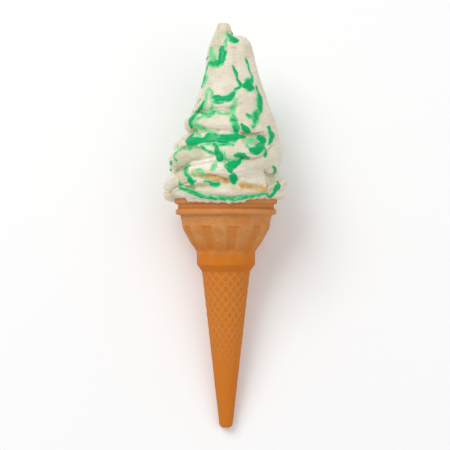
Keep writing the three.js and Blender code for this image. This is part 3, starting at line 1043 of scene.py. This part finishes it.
            (-15, 135.9, 1), (-12, 135.2, 1), (-8, 134.6, 1), (-5, 134.2, 1.1), (-1, 133.7, 1),
            (3, 133.5, 0.9), (6.5, 134, 1), (10, 134.6, 0.9), (14, 135, 0.8), (18, 135.8, 0.9),
            (21, 136.2, 0.9), (24, 136.2, 0.8), (26, 135.3, 0.9),
        )),
        Strand(Tone.DEEP, (
            (26, 135.3, 0.8), (27.5, 136.8, 1.1), (28.8, 139, 1.5), (30.3, 140.5, 1.9),
            (30.6, 142.3, 1.2), (30.3, 143.5, 0.6),
        )),
        Strand(Tone.DEEP, ((27.5, 152.3, 0.6), (28.6, 151.2, 1), (28.4, 149.5, 1.1))),
        Strand(Tone.MEDIUM, ((21.5, 164, 0.5), (22.8, 162.5, 0.8), (23, 160.5, 1), (22.6, 159.3, 0.8))),
        Strand(Tone.LIGHT, ((12, 165.5, 0.6), (13, 164, 0.6), (15, 163, 0.9))),
    )
    back_lift: float = 2.2
    spread: float = 1.15
    step: float = 0.4
    margin: float = 1.1
    sink: float = 0.35
    skin: float = 0.5
    kept: float = 0.75
    wobble: float = 0.8
    wobble_waves: Waves = Waves((3.4, 3.4, 3.4), 21.7)
    tremble: float = 0.3
    tremble_waves: Waves = Waves((1.1, 1.1, 1.1), 5.3)
    depth_share: float = 0.4
    stain_edge: tuple[float, float] = (-0.5, 0.1)
    block_size: int = 4000

    def spots(self, cream: BVHTree, side: Side) -> np.ndarray:
        """Lays the strands on the swirl.

        Args:
            cream: The swirl's surface.
            side: The side that they are laid on.

        Returns:
            Rows of place, half width and thickness, at short steps along every strand.
        """
        behind = side is Side.BEHIND
        lift = self.back_lift if behind else 0.0
        chosen = [strand for strand in self.strands if strand.behind or not behind]
        rows = []
        for strand in chosen:
            for right, height, half in strand.samples(self.step):
                eye = Vector((VIEW[0], VIEW[1], VIEW[2] * side.value))
                hit = cream.ray_cast(eye, (Vector((right, height + lift, 0)) - eye).normalized())[0]
                if hit is not None:
                    rows.append((*hit, half * self.spread, strand.tone.value))
        return np.array(rows)

    def reach(self, places: np.ndarray, spots: np.ndarray) -> tuple[np.ndarray, np.ndarray]:
        """Works out how thick the sauce stands at each place, and how far inside its edge that is.

        Args:
            places: The places to work it out for.
            spots: The rows that spots gives.

        Returns:
            The thickness, below 0 outside the sauce, and the distance inside the edge.
        """
        view = (1, 1, self.depth_share)
        warp = self.wobble * self.wobble_waves.pulls(places)
        warp += self.tremble * self.tremble_waves.pulls(places)
        places, middles = (places + warp) * view, spots[:, :3] * view
        thick = np.empty(len(places))
        inside = np.empty(len(places))
        for start in range(0, len(places), self.block_size):
            part = slice(start, start + self.block_size)
            square = np.sum(places[part] ** 2, axis=1)[:, None] + np.sum(middles**2, axis=1)
            square = np.maximum(square - 2 * places[part] @ middles.T, 0)
            share = square / spots[:, 3] ** 2
            thick[part] = np.max(spots[:, 4] * (1 - share * np.sqrt(share)), axis=1)
            inside[part] = np.max(spots[:, 3] - np.sqrt(square), axis=1)
        return thick, inside

    def stain(self, cream: bpy.types.Object, spots: np.ndarray) -> np.ndarray:
        """Weighs how far the sauce has coloured the cream beside it."""
        return smooth_step(*self.stain_edge, self.reach(places_of(cream), spots)[1])

    def build(self, cream: bpy.types.Object, spots: np.ndarray, name: str) -> bpy.types.Object:
        """Lifts the sauce off a copy of the swirl's own surface.

        Args:
            cream: The swirl, upright.
            spots: The rows that spots gives.
            name: The new object's name.

        Returns:
            The sauce as a closed mesh object, upright.
        """
        make_active(cream)
        bpy.ops.object.duplicate()
        piece = bpy.context.object
        piece.name = name
        near = self.reach(places_of(piece), spots)[1] > -self.margin
        bpy.ops.object.mode_set(mode="EDIT")
        bpy.ops.mesh.select_mode(type="VERT")
        bpy.ops.mesh.select_all(action="DESELECT")
        bpy.ops.object.mode_set(mode="OBJECT")
        piece.data.vertices.foreach_set("select", ~near)
        bpy.ops.object.mode_set(mode="EDIT")
        bpy.ops.mesh.delete(type="VERT")
        bpy.ops.object.mode_set(mode="OBJECT")
        apply_modifier(piece, "SUBSURF", levels=1, render_levels=1)
        places = places_of(piece)
        thick, _ = self.reach(places, spots)
        lifted = np.maximum(thick, -self.sink)
        paint(piece, "depth", np.clip(thick, 0, 1))
        move_to(piece, places + normals_of(piece) * lifted[:, None])
        apply_modifier(piece, "SOLIDIFY", thickness=self.skin, offset=-1)
        apply_modifier(piece, "DECIMATE", ratio=self.kept)
        cut_flat(piece)
        return piece


@dataclass
class Wafer:
    """The moulded wafer cone: a tapered tail with a raised lattice, a collar, and a bowl with pressed
    panels, a bead and a lip.

    A corner is its radius and its height. The collar, the bead and the lip are a radius, and the
    heights where they start and end.
    """

    tip_radius: float = LIE.tip_radius
    tip_edge: float = LIE.tip_edge
    tail_top: tuple[float, float] = (14.2, 91.5)
    collar: tuple[float, float, float] = (17.1, 95.4, 100.6)
    bowl: tuple[tuple[float, float], ...] = (
        (17.2, 103), (18.9, 105.4), (20.8, 108), (22.9, 111.9),
        (24.9, 115.4), (25.6, 117.4), (25.8, 119.8), (26.4, 122), (26.8, 124.2),
    )
    bead: tuple[float, float, float] = (29.5, 124.4, 127.9)
    neck_radius: float = 28.1
    lip: tuple[float, float, float] = (30, 131, 134.2)
    edge: float = 0.7
    wall: float = 2.3
    cup_floor: tuple[float, float] = (11, 99)
    steps: int = 240
    fine: float = 0.5
    coarse: float = 3.0
    panel_count: int = 10
    panel_first_turn: float = 9
    panel_width: float = 15
    panel_side: float = 1.6
    panel_depth: float = 0.6
    panel_height: tuple[float, float] = (103.6, 118)
    panel_foot: float = 1
    panel_head: float = 0.9
    helices: int = 16
    lattice_rise: float = 6.0
    line_width: float = 0.5
    line_height: float = 0.34
    lattice_fade: tuple[float, float] = (16, 74)
    worn: float = 0.05
    roughness: float = 0.07
    pits: Waves = Waves((1.3, 1.3, 1.3), 4.4)
    swells: Waves = Waves((7, 7, 7), 9.9)
    # Painted shade in the neck between bead and lip and along the panels' heads: its offset, its darkness and
    # its widths.
    shade_above: float = 0.3
    panel_shade: float = 0.4
    panel_shade_width: float = 0.5
    groove_width: float = 0.7
    toasted_below: tuple[float, float] = (94, 113)

    def outer(self) -> np.ndarray:
        """Works out the outside from the tip to the lip, with softened corners.

        Returns:
            Rows of radius and height.
        """
        corners = np.array([
            (0, 0), (self.tip_radius - self.tip_edge, 0), (self.tip_radius, self.tip_edge),
            self.tail_top, self.collar[:2], (self.collar[0], self.collar[2]), *self.bowl,
            (self.bead[0] - self.edge, self.bead[1]), (self.bead[0], self.bead[1] + self.edge),
            (self.bead[0], self.bead[2] - self.edge), (self.neck_radius, self.bead[2]),
            (self.neck_radius, self.lip[1] - self.edge), (self.lip[0], self.lip[1]),
            (self.lip[0], self.lip[2] - self.edge), (self.lip[0] - self.edge, self.lip[2]),
        ])
        even = resampled(corners, self.fine)
        even[1:-1] = even[:-2] / 4 + even[1:-1] / 2 + even[2:] / 4
        return even

    def inner(self) -> np.ndarray:
        """Works out the inside of the cup from the lip down to its floor.

        Returns:
            Rows of radius and height.
        """
        side = [(radius - self.wall, height) for radius, height in reversed(self.bowl)]
        corners = [
            (self.lip[0] - self.wall, self.lip[2]), (self.neck_radius - self.wall, self.lip[1] - self.edge),
            *side, self.cup_floor, (0, self.cup_floor[1]),
        ]
        return resampled(np.array(corners), self.coarse)

    def press(self, turn: np.ndarray, height: np.ndarray) -> np.ndarray:
        """Works out how deep the panels press in.

        Args:
            turn: How far round each place is, in degrees from the shown side.
            height: How far along the axis it is.

        Returns:
            A number from 0 to 1 for each place.
        """
        pitch = 360 / self.panel_count
        place = np.mod(turn - self.panel_first_turn + pitch / 2, pitch) - pitch / 2
        half = self.panel_width / 2
        across = 1 - smooth_step(half - self.panel_side, half, np.abs(place))
        low, high = self.panel_height
        foot = smooth_step(low - self.panel_foot, low + self.panel_foot, height)
        return across * foot * (1 - smooth_step(high - self.panel_head, high, height))

    def lattice(self, turn: np.ndarray, height: np.ndarray, radius: np.ndarray) -> np.ndarray:
        """Works out how high the crossing lines of the tail stand.

        Args:
            turn: How far round each place is, in degrees from the shown side.
            height: How far along the axis it is.
            radius: How far from the axis it is.

        Returns:
            A number from 0 to 1 for each place.
        """
        around = self.helices * turn / 360
        steep = np.hypot(self.helices / (2 * math.pi * np.maximum(radius, 1)), 1 / self.lattice_rise)
        rise = np.zeros(len(turn))
        for hand in (-1, 1):
            phase = np.mod(around + hand * height / self.lattice_rise + 0.5, 1) - 0.5
            rise = np.maximum(rise, np.exp(-((phase / steep / self.line_width) ** 2)))
        return rise * (height < self.tail_top[1])

    def build(self) -> bpy.types.Object:
        """Turns the cone, then presses its panels in and raises its lattice.

        Returns:
            The cone as a closed mesh object, upright and in millimetres.
        """
        piece = spun("wafer", np.vstack((self.outer(), self.inner())), self.steps)
        places = places_of(piece)
        radius = np.hypot(places[:, 0], places[:, 2])
        turn = np.degrees(np.arctan2(places[:, 0], places[:, 2]))
        height = places[:, 1]
        heights = [row[1] for row in self.bowl]
        side = np.interp(height, heights, [row[0] for row in self.bowl])
        outside = (height < self.cup_floor[1] - 0.5) | (radius > side - self.wall / 2)
        panel = self.press(turn, height) * outside
        fade = smooth_step(*self.lattice_fade, height)
        line = self.lattice(turn, height, radius) * outside * fade
        rough = self.roughness * (self.pits.values(places) + self.swells.values(places))
        level = self.line_height * fade * (height < self.tail_top[1])
        offset = self.line_height * line - self.panel_depth * panel
        offset += outside * (rough - self.worn - level)
        share = 1 + np.where(radius > 1, offset / np.maximum(radius, 1), 0)
        move_to(piece, places * np.column_stack((share, np.ones(len(share)), share)))
        # Painted shade: the neck between bead and lip and the heads of the panels are marked to be darkened.
        head = height - self.panel_height[1] + self.shade_above
        edge = self.panel_shade * np.exp(-((head / self.panel_shade_width) ** 2))
        neck = height - self.bead[2] - self.shade_above
        groove = np.exp(-((neck / self.groove_width) ** 2))
        # The raised lines are marked for a painted highlight on their tops.
        paint(piece, "line", line)
        # The pressed panels are marked for painted shade in their recesses.
        paint(piece, "panel", panel)
        paint(piece, "groove", np.maximum(groove, edge * self.press(turn, height - 1)))
        paint(piece, "toast", 1 - smooth_step(*self.toasted_below, height))
        return piece


Colour = tuple[float, float, float, float]


def srgb(red: int, green: int, blue: int) -> Colour:
    """Turns a colour as a screen shows it into the one that a shader takes.

    Args:
        red: From 0 to 255.
        green: From 0 to 255.
        blue: From 0 to 255.

    Returns:
        The linear colour, with full alpha.
    """
    parts = (value / 255 for value in (red, green, blue))
    linear = [part / 12.92 if part <= 0.04045 else ((part + 0.055) / 1.055) ** 2.4 for part in parts]
    return (*linear, 1.0)


@dataclass
class Board:
    """A node tree that is being wired."""

    tree: bpy.types.NodeTree

    def node(self, kind: str, inputs: dict[str | int, object], **settings: object) -> bpy.types.Node:
        """Adds a node.

        Args:
            kind: The node's type.
            inputs: Values or sockets for its inputs, by name or number.
            **settings: Its properties.

        Returns:
            The new node.
        """
        node = self.tree.nodes.new(kind)
        for name, value in settings.items():
            setattr(node, name, value)
        for name, value in inputs.items():
            if isinstance(value, bpy.types.NodeSocket):
                self.tree.links.new(value, node.inputs[name])
            else:
                node.inputs[name].default_value = value
        return node

    def mix(self, mask: object, first: object, second: object) -> bpy.types.NodeSocket:
        """Mixes two colours by a mask."""
        return self.node("ShaderNodeMix", {0: mask, 6: first, 7: second}, data_type="RGBA").outputs[2]

    def maths(self, operation: str, first: object, second: object) -> bpy.types.NodeSocket:
        """Works one value out of two."""
        return self.node("ShaderNodeMath", {0: first, 1: second}, operation=operation).outputs[0]

    def attribute(self, name: str) -> bpy.types.NodeSocket:
        """Reads a number that the mesh stores."""
        return self.node("ShaderNodeAttribute", {}, attribute_name=name).outputs["Fac"]

    def share(self, name: str, most: float) -> bpy.types.NodeSocket:
        """Reads a number that the mesh stores, times the most that it may count for."""
        return self.maths("MULTIPLY", self.attribute(name), most)

    def upright(self) -> bpy.types.NodeSocket:
        """Gives Object coordinates in millimetres, turned so that Y runs along the cone.

        Returns:
            The socket that puts them out.
        """
        coordinates = self.node("ShaderNodeTexCoord", {}).outputs["Object"]
        turn = (-math.atan(LIE.slope), 0, 0)
        sizes = {"Vector": coordinates, "Rotation": turn, "Scale": (1 / MM, 1 / MM, 1 / MM)}
        return self.node("ShaderNodeMapping", sizes).outputs[0]


def new_group(name: str, numbers: dict[str, float], output: str) -> bpy.types.ShaderNodeTree:
    """Starts a node group that reads a vector and some numbers, and puts out one value.

    Args:
        name: The group's name.
        numbers: Its number inputs, with their usual values.
        output: The name of what it puts out.

    Returns:
        The group, with its sockets made.
    """
    tree = bpy.data.node_groups.new(name, "ShaderNodeTree")
    tree.interface.new_socket("Vector", in_out="INPUT", socket_type="NodeSocketVector")
    for label, value in numbers.items():
        socket = tree.interface.new_socket(label, in_out="INPUT", socket_type="NodeSocketFloat")
        socket.default_value = value
    tree.interface.new_socket(output, in_out="OUTPUT", socket_type="NodeSocketFloat")
    return tree


def mottle_group() -> bpy.types.ShaderNodeTree:
    """Makes the uneven patches that cream and wafer share.

    Returns:
        The group. Size is the patches' size in millimetres, Low and High where they fade in.
    """
    tree = new_group("Mottle", {"Size": 8.0, "Low": 0.4, "High": 0.62}, "Mask")
    board = Board(tree)
    given = board.node("NodeGroupInput", {}).outputs
    scale = board.maths("DIVIDE", 1.0, given["Size"])
    grain = board.node("ShaderNodeTexNoise", {"Vector": given["Vector"], "Scale": scale, "Detail": 4.0})
    limits = {"Value": grain.outputs["Fac"], "From Min": given["Low"], "From Max": given["High"]}
    mask = board.node("ShaderNodeMapRange", limits, interpolation_type="SMOOTHSTEP")
    board.node("NodeGroupOutput", {"Mask": mask.outputs["Result"]})
    return tree


def pores_group() -> bpy.types.ShaderNodeTree:
    """Makes the small round pores that cream and wafer share.

    Returns:
        The group. Size is their spacing in millimetres, and Share how much of it a pore takes.
    """
    tree = new_group("Pores", {"Size": 1.0, "Share": 0.3}, "Mask")
    board = Board(tree)
    given = board.node("NodeGroupInput", {}).outputs
    scale = board.maths("DIVIDE", 1.0, given["Size"])
    cells = board.node("ShaderNodeTexVoronoi", {"Vector": given["Vector"], "Scale": scale})
    limits = {"Value": cells.outputs["Distance"], "From Max": given["Share"], "To Min": 1.0, "To Max": 0.0}
    mask = board.node("ShaderNodeMapRange", limits, interpolation_type="SMOOTHSTEP")
    board.node("NodeGroupOutput", {"Mask": mask.outputs["Result"]})
    return tree


@dataclass
class Kit:
    """What the finishes share: the groups for patches and pores."""

    mottle: bpy.types.ShaderNodeTree = field(default_factory=mottle_group)
    pores: bpy.types.ShaderNodeTree = field(default_factory=pores_group)

    def patches(self, board: Board, **values: object) -> bpy.types.NodeSocket:
        """Places the uneven patches in a material, and gives their mask."""
        return board.node("ShaderNodeGroup", values, node_tree=self.mottle).outputs[0]

    def holes(self, board: Board, **values: object) -> bpy.types.NodeSocket:
        """Places the small round pores in a material, and gives their mask."""
        return board.node("ShaderNodeGroup", values, node_tree=self.pores).outputs[0]


def started(name: str) -> tuple[bpy.types.Material, Board]:
    """Starts a material with an empty node tree.

    Args:
        name: The material's name.

    Returns:
        The material and its node tree.
    """
    material = bpy.data.materials.new(name)
    material.use_nodes = True
    material.node_tree.nodes.clear()
    return material, Board(material.node_tree)


@dataclass(frozen=True)
class CreamFinish:
    """Soft ice cream: satin, a little translucent, with painted warm shade in its creases."""

    bright: Colour = srgb(235, 227, 207)
    plain: Colour = srgb(227, 217, 194)
    # Painted shade: the darker, warmer colour laid into the creases.
    crease: Colour = srgb(206, 184, 142)
    # Painted light, laid on the patches where the folds catch the most light.
    pale: Colour = srgb(255, 250, 238)
    # Painted warm shade, golden, for the deep valleys and cracks.
    gold: Colour = srgb(212, 166, 62)
    # Painted shade, olive-grey, for faces turned away from the light.
    olive: Colour = srgb(184, 186, 142)
    stain: Colour = srgb(150, 214, 160)
    crease_shade_share: float = 0.8
    stain_share: float = 0.75
    crack_scale: tuple[float, float, float] = (0.35, 1.0, 0.35)
    roughness: float = 0.45

    def material(self, kit: Kit) -> bpy.types.Material:
        """Wires the finish.

        Args:
            kit: The groups that the finishes share.

        Returns:
            The material.
        """
        material, board = started("cream")
        upright = board.upright()
        patches = kit.patches(board, Vector=upright, Size=9.0, Low=0.38, High=0.62)
        colour = board.mix(patches, self.bright, self.plain)
        # Painted shade in the creases.
        colour = board.mix(board.share("crease", self.crease_shade_share), colour, self.crease)
        # Painted light on the brightest faces.
        colour = board.mix(board.attribute("pale"), colour, self.pale)
        # Painted olive-grey shade on the faces turned away from the light.
        colour = board.mix(board.attribute("olive"), colour, self.olive)
        # Painted golden shade in the valleys and cracks.
        colour = board.mix(board.attribute("gold"), colour, self.gold)
        colour = board.mix(board.share("stain", self.stain_share), colour, self.stain)
        flat = board.node("ShaderNodeMapping", {"Vector": upright, "Scale": self.crack_scale}).outputs[0]
        cracks = kit.patches(board, Vector=flat, Size=1.6, Low=0.3, High=0.7)
        pores = kit.holes(board, Vector=upright, Size=1.1, Share=0.26)
        height = board.maths("SUBTRACT", cracks, pores)
        bump = board.node("ShaderNodeBump", {"Height": height, "Strength": 0.7, "Distance": 0.0005})
        shader = board.node("ShaderNodeBsdfPrincipled", {
            "Base Color": colour, "Roughness": self.roughness, "Normal": bump.outputs[0],
            "Subsurface Weight": 0.2, "Subsurface Radius": (1.0, 0.75, 0.45), "Subsurface Scale": 0.0025,
        })
        board.node("ShaderNodeOutputMaterial", {"Surface": shader.outputs[0]})
        return material


@dataclass(frozen=True)
class SauceFinish:
    """Mint sauce: glossy, pale where it is thin and deep green where it lies thick."""

    veil: Colour = srgb(186, 226, 180)
    thin: Colour = srgb(106, 210, 138)
    deep: Colour = srgb(0, 173, 102)
    thin_at: float = 0.22
    deep_at: float = 0.47
    uneven_least: float = 0.6
    uneven_swing: float = 0.8
    roughness: float = 0.17

    def material(self, kit: Kit) -> bpy.types.Material:
        """Wires the finish.

        Args:
            kit: The groups that the finishes share.

        Returns:
            The material.
        """
        material, board = started("sauce")
        upright = board.upright()
        patches = kit.patches(board, Vector=upright, Size=3.0, Low=0.3, High=0.7)
        swing = board.maths("MULTIPLY", patches, self.uneven_swing)
        share = board.maths("ADD", swing, self.uneven_least)
        depth = board.maths("MULTIPLY", board.attribute("depth"), share)
        stops = board.node("ShaderNodeValToRGB", {"Fac": depth})
        ramp = stops.color_ramp
        ramp.elements[0].position = 0.0
        ramp.elements[0].color = self.veil
        ramp.elements[1].position = self.deep_at
        ramp.elements[1].color = self.deep
        ramp.elements.new(self.thin_at).color = self.thin
        shader = board.node("ShaderNodeBsdfPrincipled", {
            "Base Color": stops.outputs[0], "Roughness": self.roughness, "Specular IOR Level": 0.22,
        })
        board.node("ShaderNodeOutputMaterial", {"Surface": shader.outputs[0]})
        return material


@dataclass(frozen=True)
class WaferFinish:
    """Baked wafer: dull, porous, tan at the bowl and browner down the tail, with painted shade in its panels
    and neck and a painted highlight on its raised lines.
    """

    tan: Colour = srgb(214, 146, 84)
    # The tail's toast colour, also laid into the pressed panels as painted shade.
    toast_and_panel_shade: Colour = srgb(212, 118, 24)
    # The pores' colour, also used as painted shade in the neck and at the panels' heads.
    dark: Colour = srgb(190, 96, 30)
    # Painted highlight on the raised lattice lines.
    pale: Colour = srgb(216, 156, 96)
    grey: Colour = srgb(178, 132, 84)
    panel_shade_share: float = 0.5
    line_highlight_share: float = 0.4
    groove_shade_share: float = 0.8
    blotch_share: float = 0.35
    speck_share: float = 0.5
    speck_height: float = 0.6
    pore_share: float = 0.35
    roughness: float = 0.8

    def material(self, kit: Kit) -> bpy.types.Material:
        """Wires the finish.

        Args:
            kit: The groups that the finishes share.

        Returns:
            The material.
        """
        material, board = started("wafer")
        upright = board.upright()
        blotches = kit.patches(board, Vector=upright, Size=7.0, Low=0.42, High=0.6)
        blotched = board.maths("MULTIPLY", blotches, self.blotch_share)
        toast = board.maths("ADD", board.attribute("toast"), blotched)
        colour = board.mix(toast, self.tan, self.toast_and_panel_shade)
        # Painted shade in the recesses of the pressed panels.
        colour = board.mix(board.share("panel", self.panel_shade_share), colour, self.toast_and_panel_shade)
        # Painted highlight on the raised lattice lines.
        colour = board.mix(board.share("line", self.line_highlight_share), colour, self.pale)
        # Painted shade in the neck and at the panels' heads.
        colour = board.mix(board.share("groove", self.groove_shade_share), colour, self.dark)
        speck = kit.patches(board, Vector=upright, Size=1.1, Low=0.5, High=0.66)
        colour = board.mix(board.maths("MULTIPLY", speck, self.speck_share), colour, self.grey)
        pores = kit.holes(board, Vector=upright, Size=0.9, Share=0.3)
        colour = board.mix(board.maths("MULTIPLY", pores, self.pore_share), colour, self.dark)
        height = board.maths("SUBTRACT", board.maths("MULTIPLY", speck, self.speck_height), pores)
        bump = board.node("ShaderNodeBump", {"Height": height, "Strength": 0.5, "Distance": 0.0004})
        shader = board.node("ShaderNodeBsdfPrincipled", {
            "Base Color": colour, "Roughness": self.roughness, "Specular IOR Level": 0.2,
            "Normal": bump.outputs[0],
        })
        board.node("ShaderNodeOutputMaterial", {"Surface": shader.outputs[0]})
        return material


@dataclass
class Studio:
    """A pale floor, soft light, and the camera that looks down on the lying cone."""

    lens: float = 100
    sensor: float = 36
    floor_size: float = 6
    floor_colour: Colour = srgb(250, 250, 250)
    floor_roughness: float = 0.9
    sky: float = 0.5
    lamps: tuple[tuple[tuple[float, float, float], float, float], ...] = (
        ((-1.1, 1.1, 2.0), 1.5, 32),
        ((1.2, -0.2, 2.4), 2.4, 17),
    )

    def camera(self) -> None:
        """Sets the camera at the photograph's angle, square to the cone's axis."""
        angle = math.atan(LIE.slope)
        place = Matrix.Translation(LAID @ Vector(VIEW)) @ Matrix.Rotation(angle, 4, "X")
        bpy.ops.object.camera_add()
        camera = bpy.context.object
        camera.name = "camera"
        camera.matrix_world = place
        camera.data.lens = self.lens
        camera.data.sensor_width = self.sensor
        bpy.context.scene.camera = camera

    def floor(self) -> None:
        """Lays the pale floor."""
        clear_selection()
        bpy.ops.mesh.primitive_plane_add(size=self.floor_size, location=(0, 0, 0))
        floor = bpy.context.object
        floor.name = "floor"
        material, board = started("floor")
        looks = {"Base Color": self.floor_colour, "Roughness": self.floor_roughness}
        shader = board.node("ShaderNodeBsdfPrincipled", looks)
        board.node("ShaderNodeOutputMaterial", {"Surface": shader.outputs[0]})
        floor.data.materials.append(material)

    def light(self) -> None:
        """Hangs the soft lamps and sets an even sky."""
        for place, size, power in self.lamps:
            bpy.ops.object.light_add(type="AREA", location=place)
            lamp = bpy.context.object
            lamp.rotation_euler = (-Vector(place)).to_track_quat("-Z", "Y").to_euler()
            lamp.data.size = size
            lamp.data.energy = power
        world = bpy.data.worlds.new("soft_sky")
        world.use_nodes = True
        background = world.node_tree.nodes["Background"]
        background.inputs["Color"].default_value = (1, 1, 1, 1)
        background.inputs["Strength"].default_value = self.sky
        bpy.context.scene.world = world
        bpy.context.scene.view_settings.view_transform = "Standard"

    def build(self) -> None:
        """Sets the whole studio up."""
        self.camera()
        self.floor()
        self.light()


def surface_of(piece: bpy.types.Object) -> BVHTree:
    """Prepares a mesh for finding places on its surface."""
    return BVHTree.FromObject(piece, bpy.context.evaluated_depsgraph_get())


def main() -> None:
    """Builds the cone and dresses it."""
    logging.basicConfig(level=logging.INFO, format="%(message)s")
    kit = Kit()
    Studio().build()
    wafer = Wafer().build()
    cream = Swirl().build()
    sauce = Sauce()
    surface = surface_of(cream)
    coats = []
    stain = np.zeros(len(cream.data.vertices))
    for side, name in ((Side.SHOWN, "sauce_shown"), (Side.BEHIND, "sauce_behind")):
        spots = sauce.spots(surface, side)
        stain = np.maximum(stain, sauce.stain(cream, spots))
        coats.append(sauce.build(cream, spots, name))
    paint(cream, "stain", stain)
    for piece in (wafer, cream, *coats):
        lay_down(piece)
    dress(wafer, "wafer_cone", WaferFinish().material(kit))
    dress(cream, "ice_cream", CreamFinish().material(kit))
    green = SauceFinish().material(kit)
    for coat in coats:
        dress(coat, "ice_cream", green)


if __name__ == "__main__":
    main()
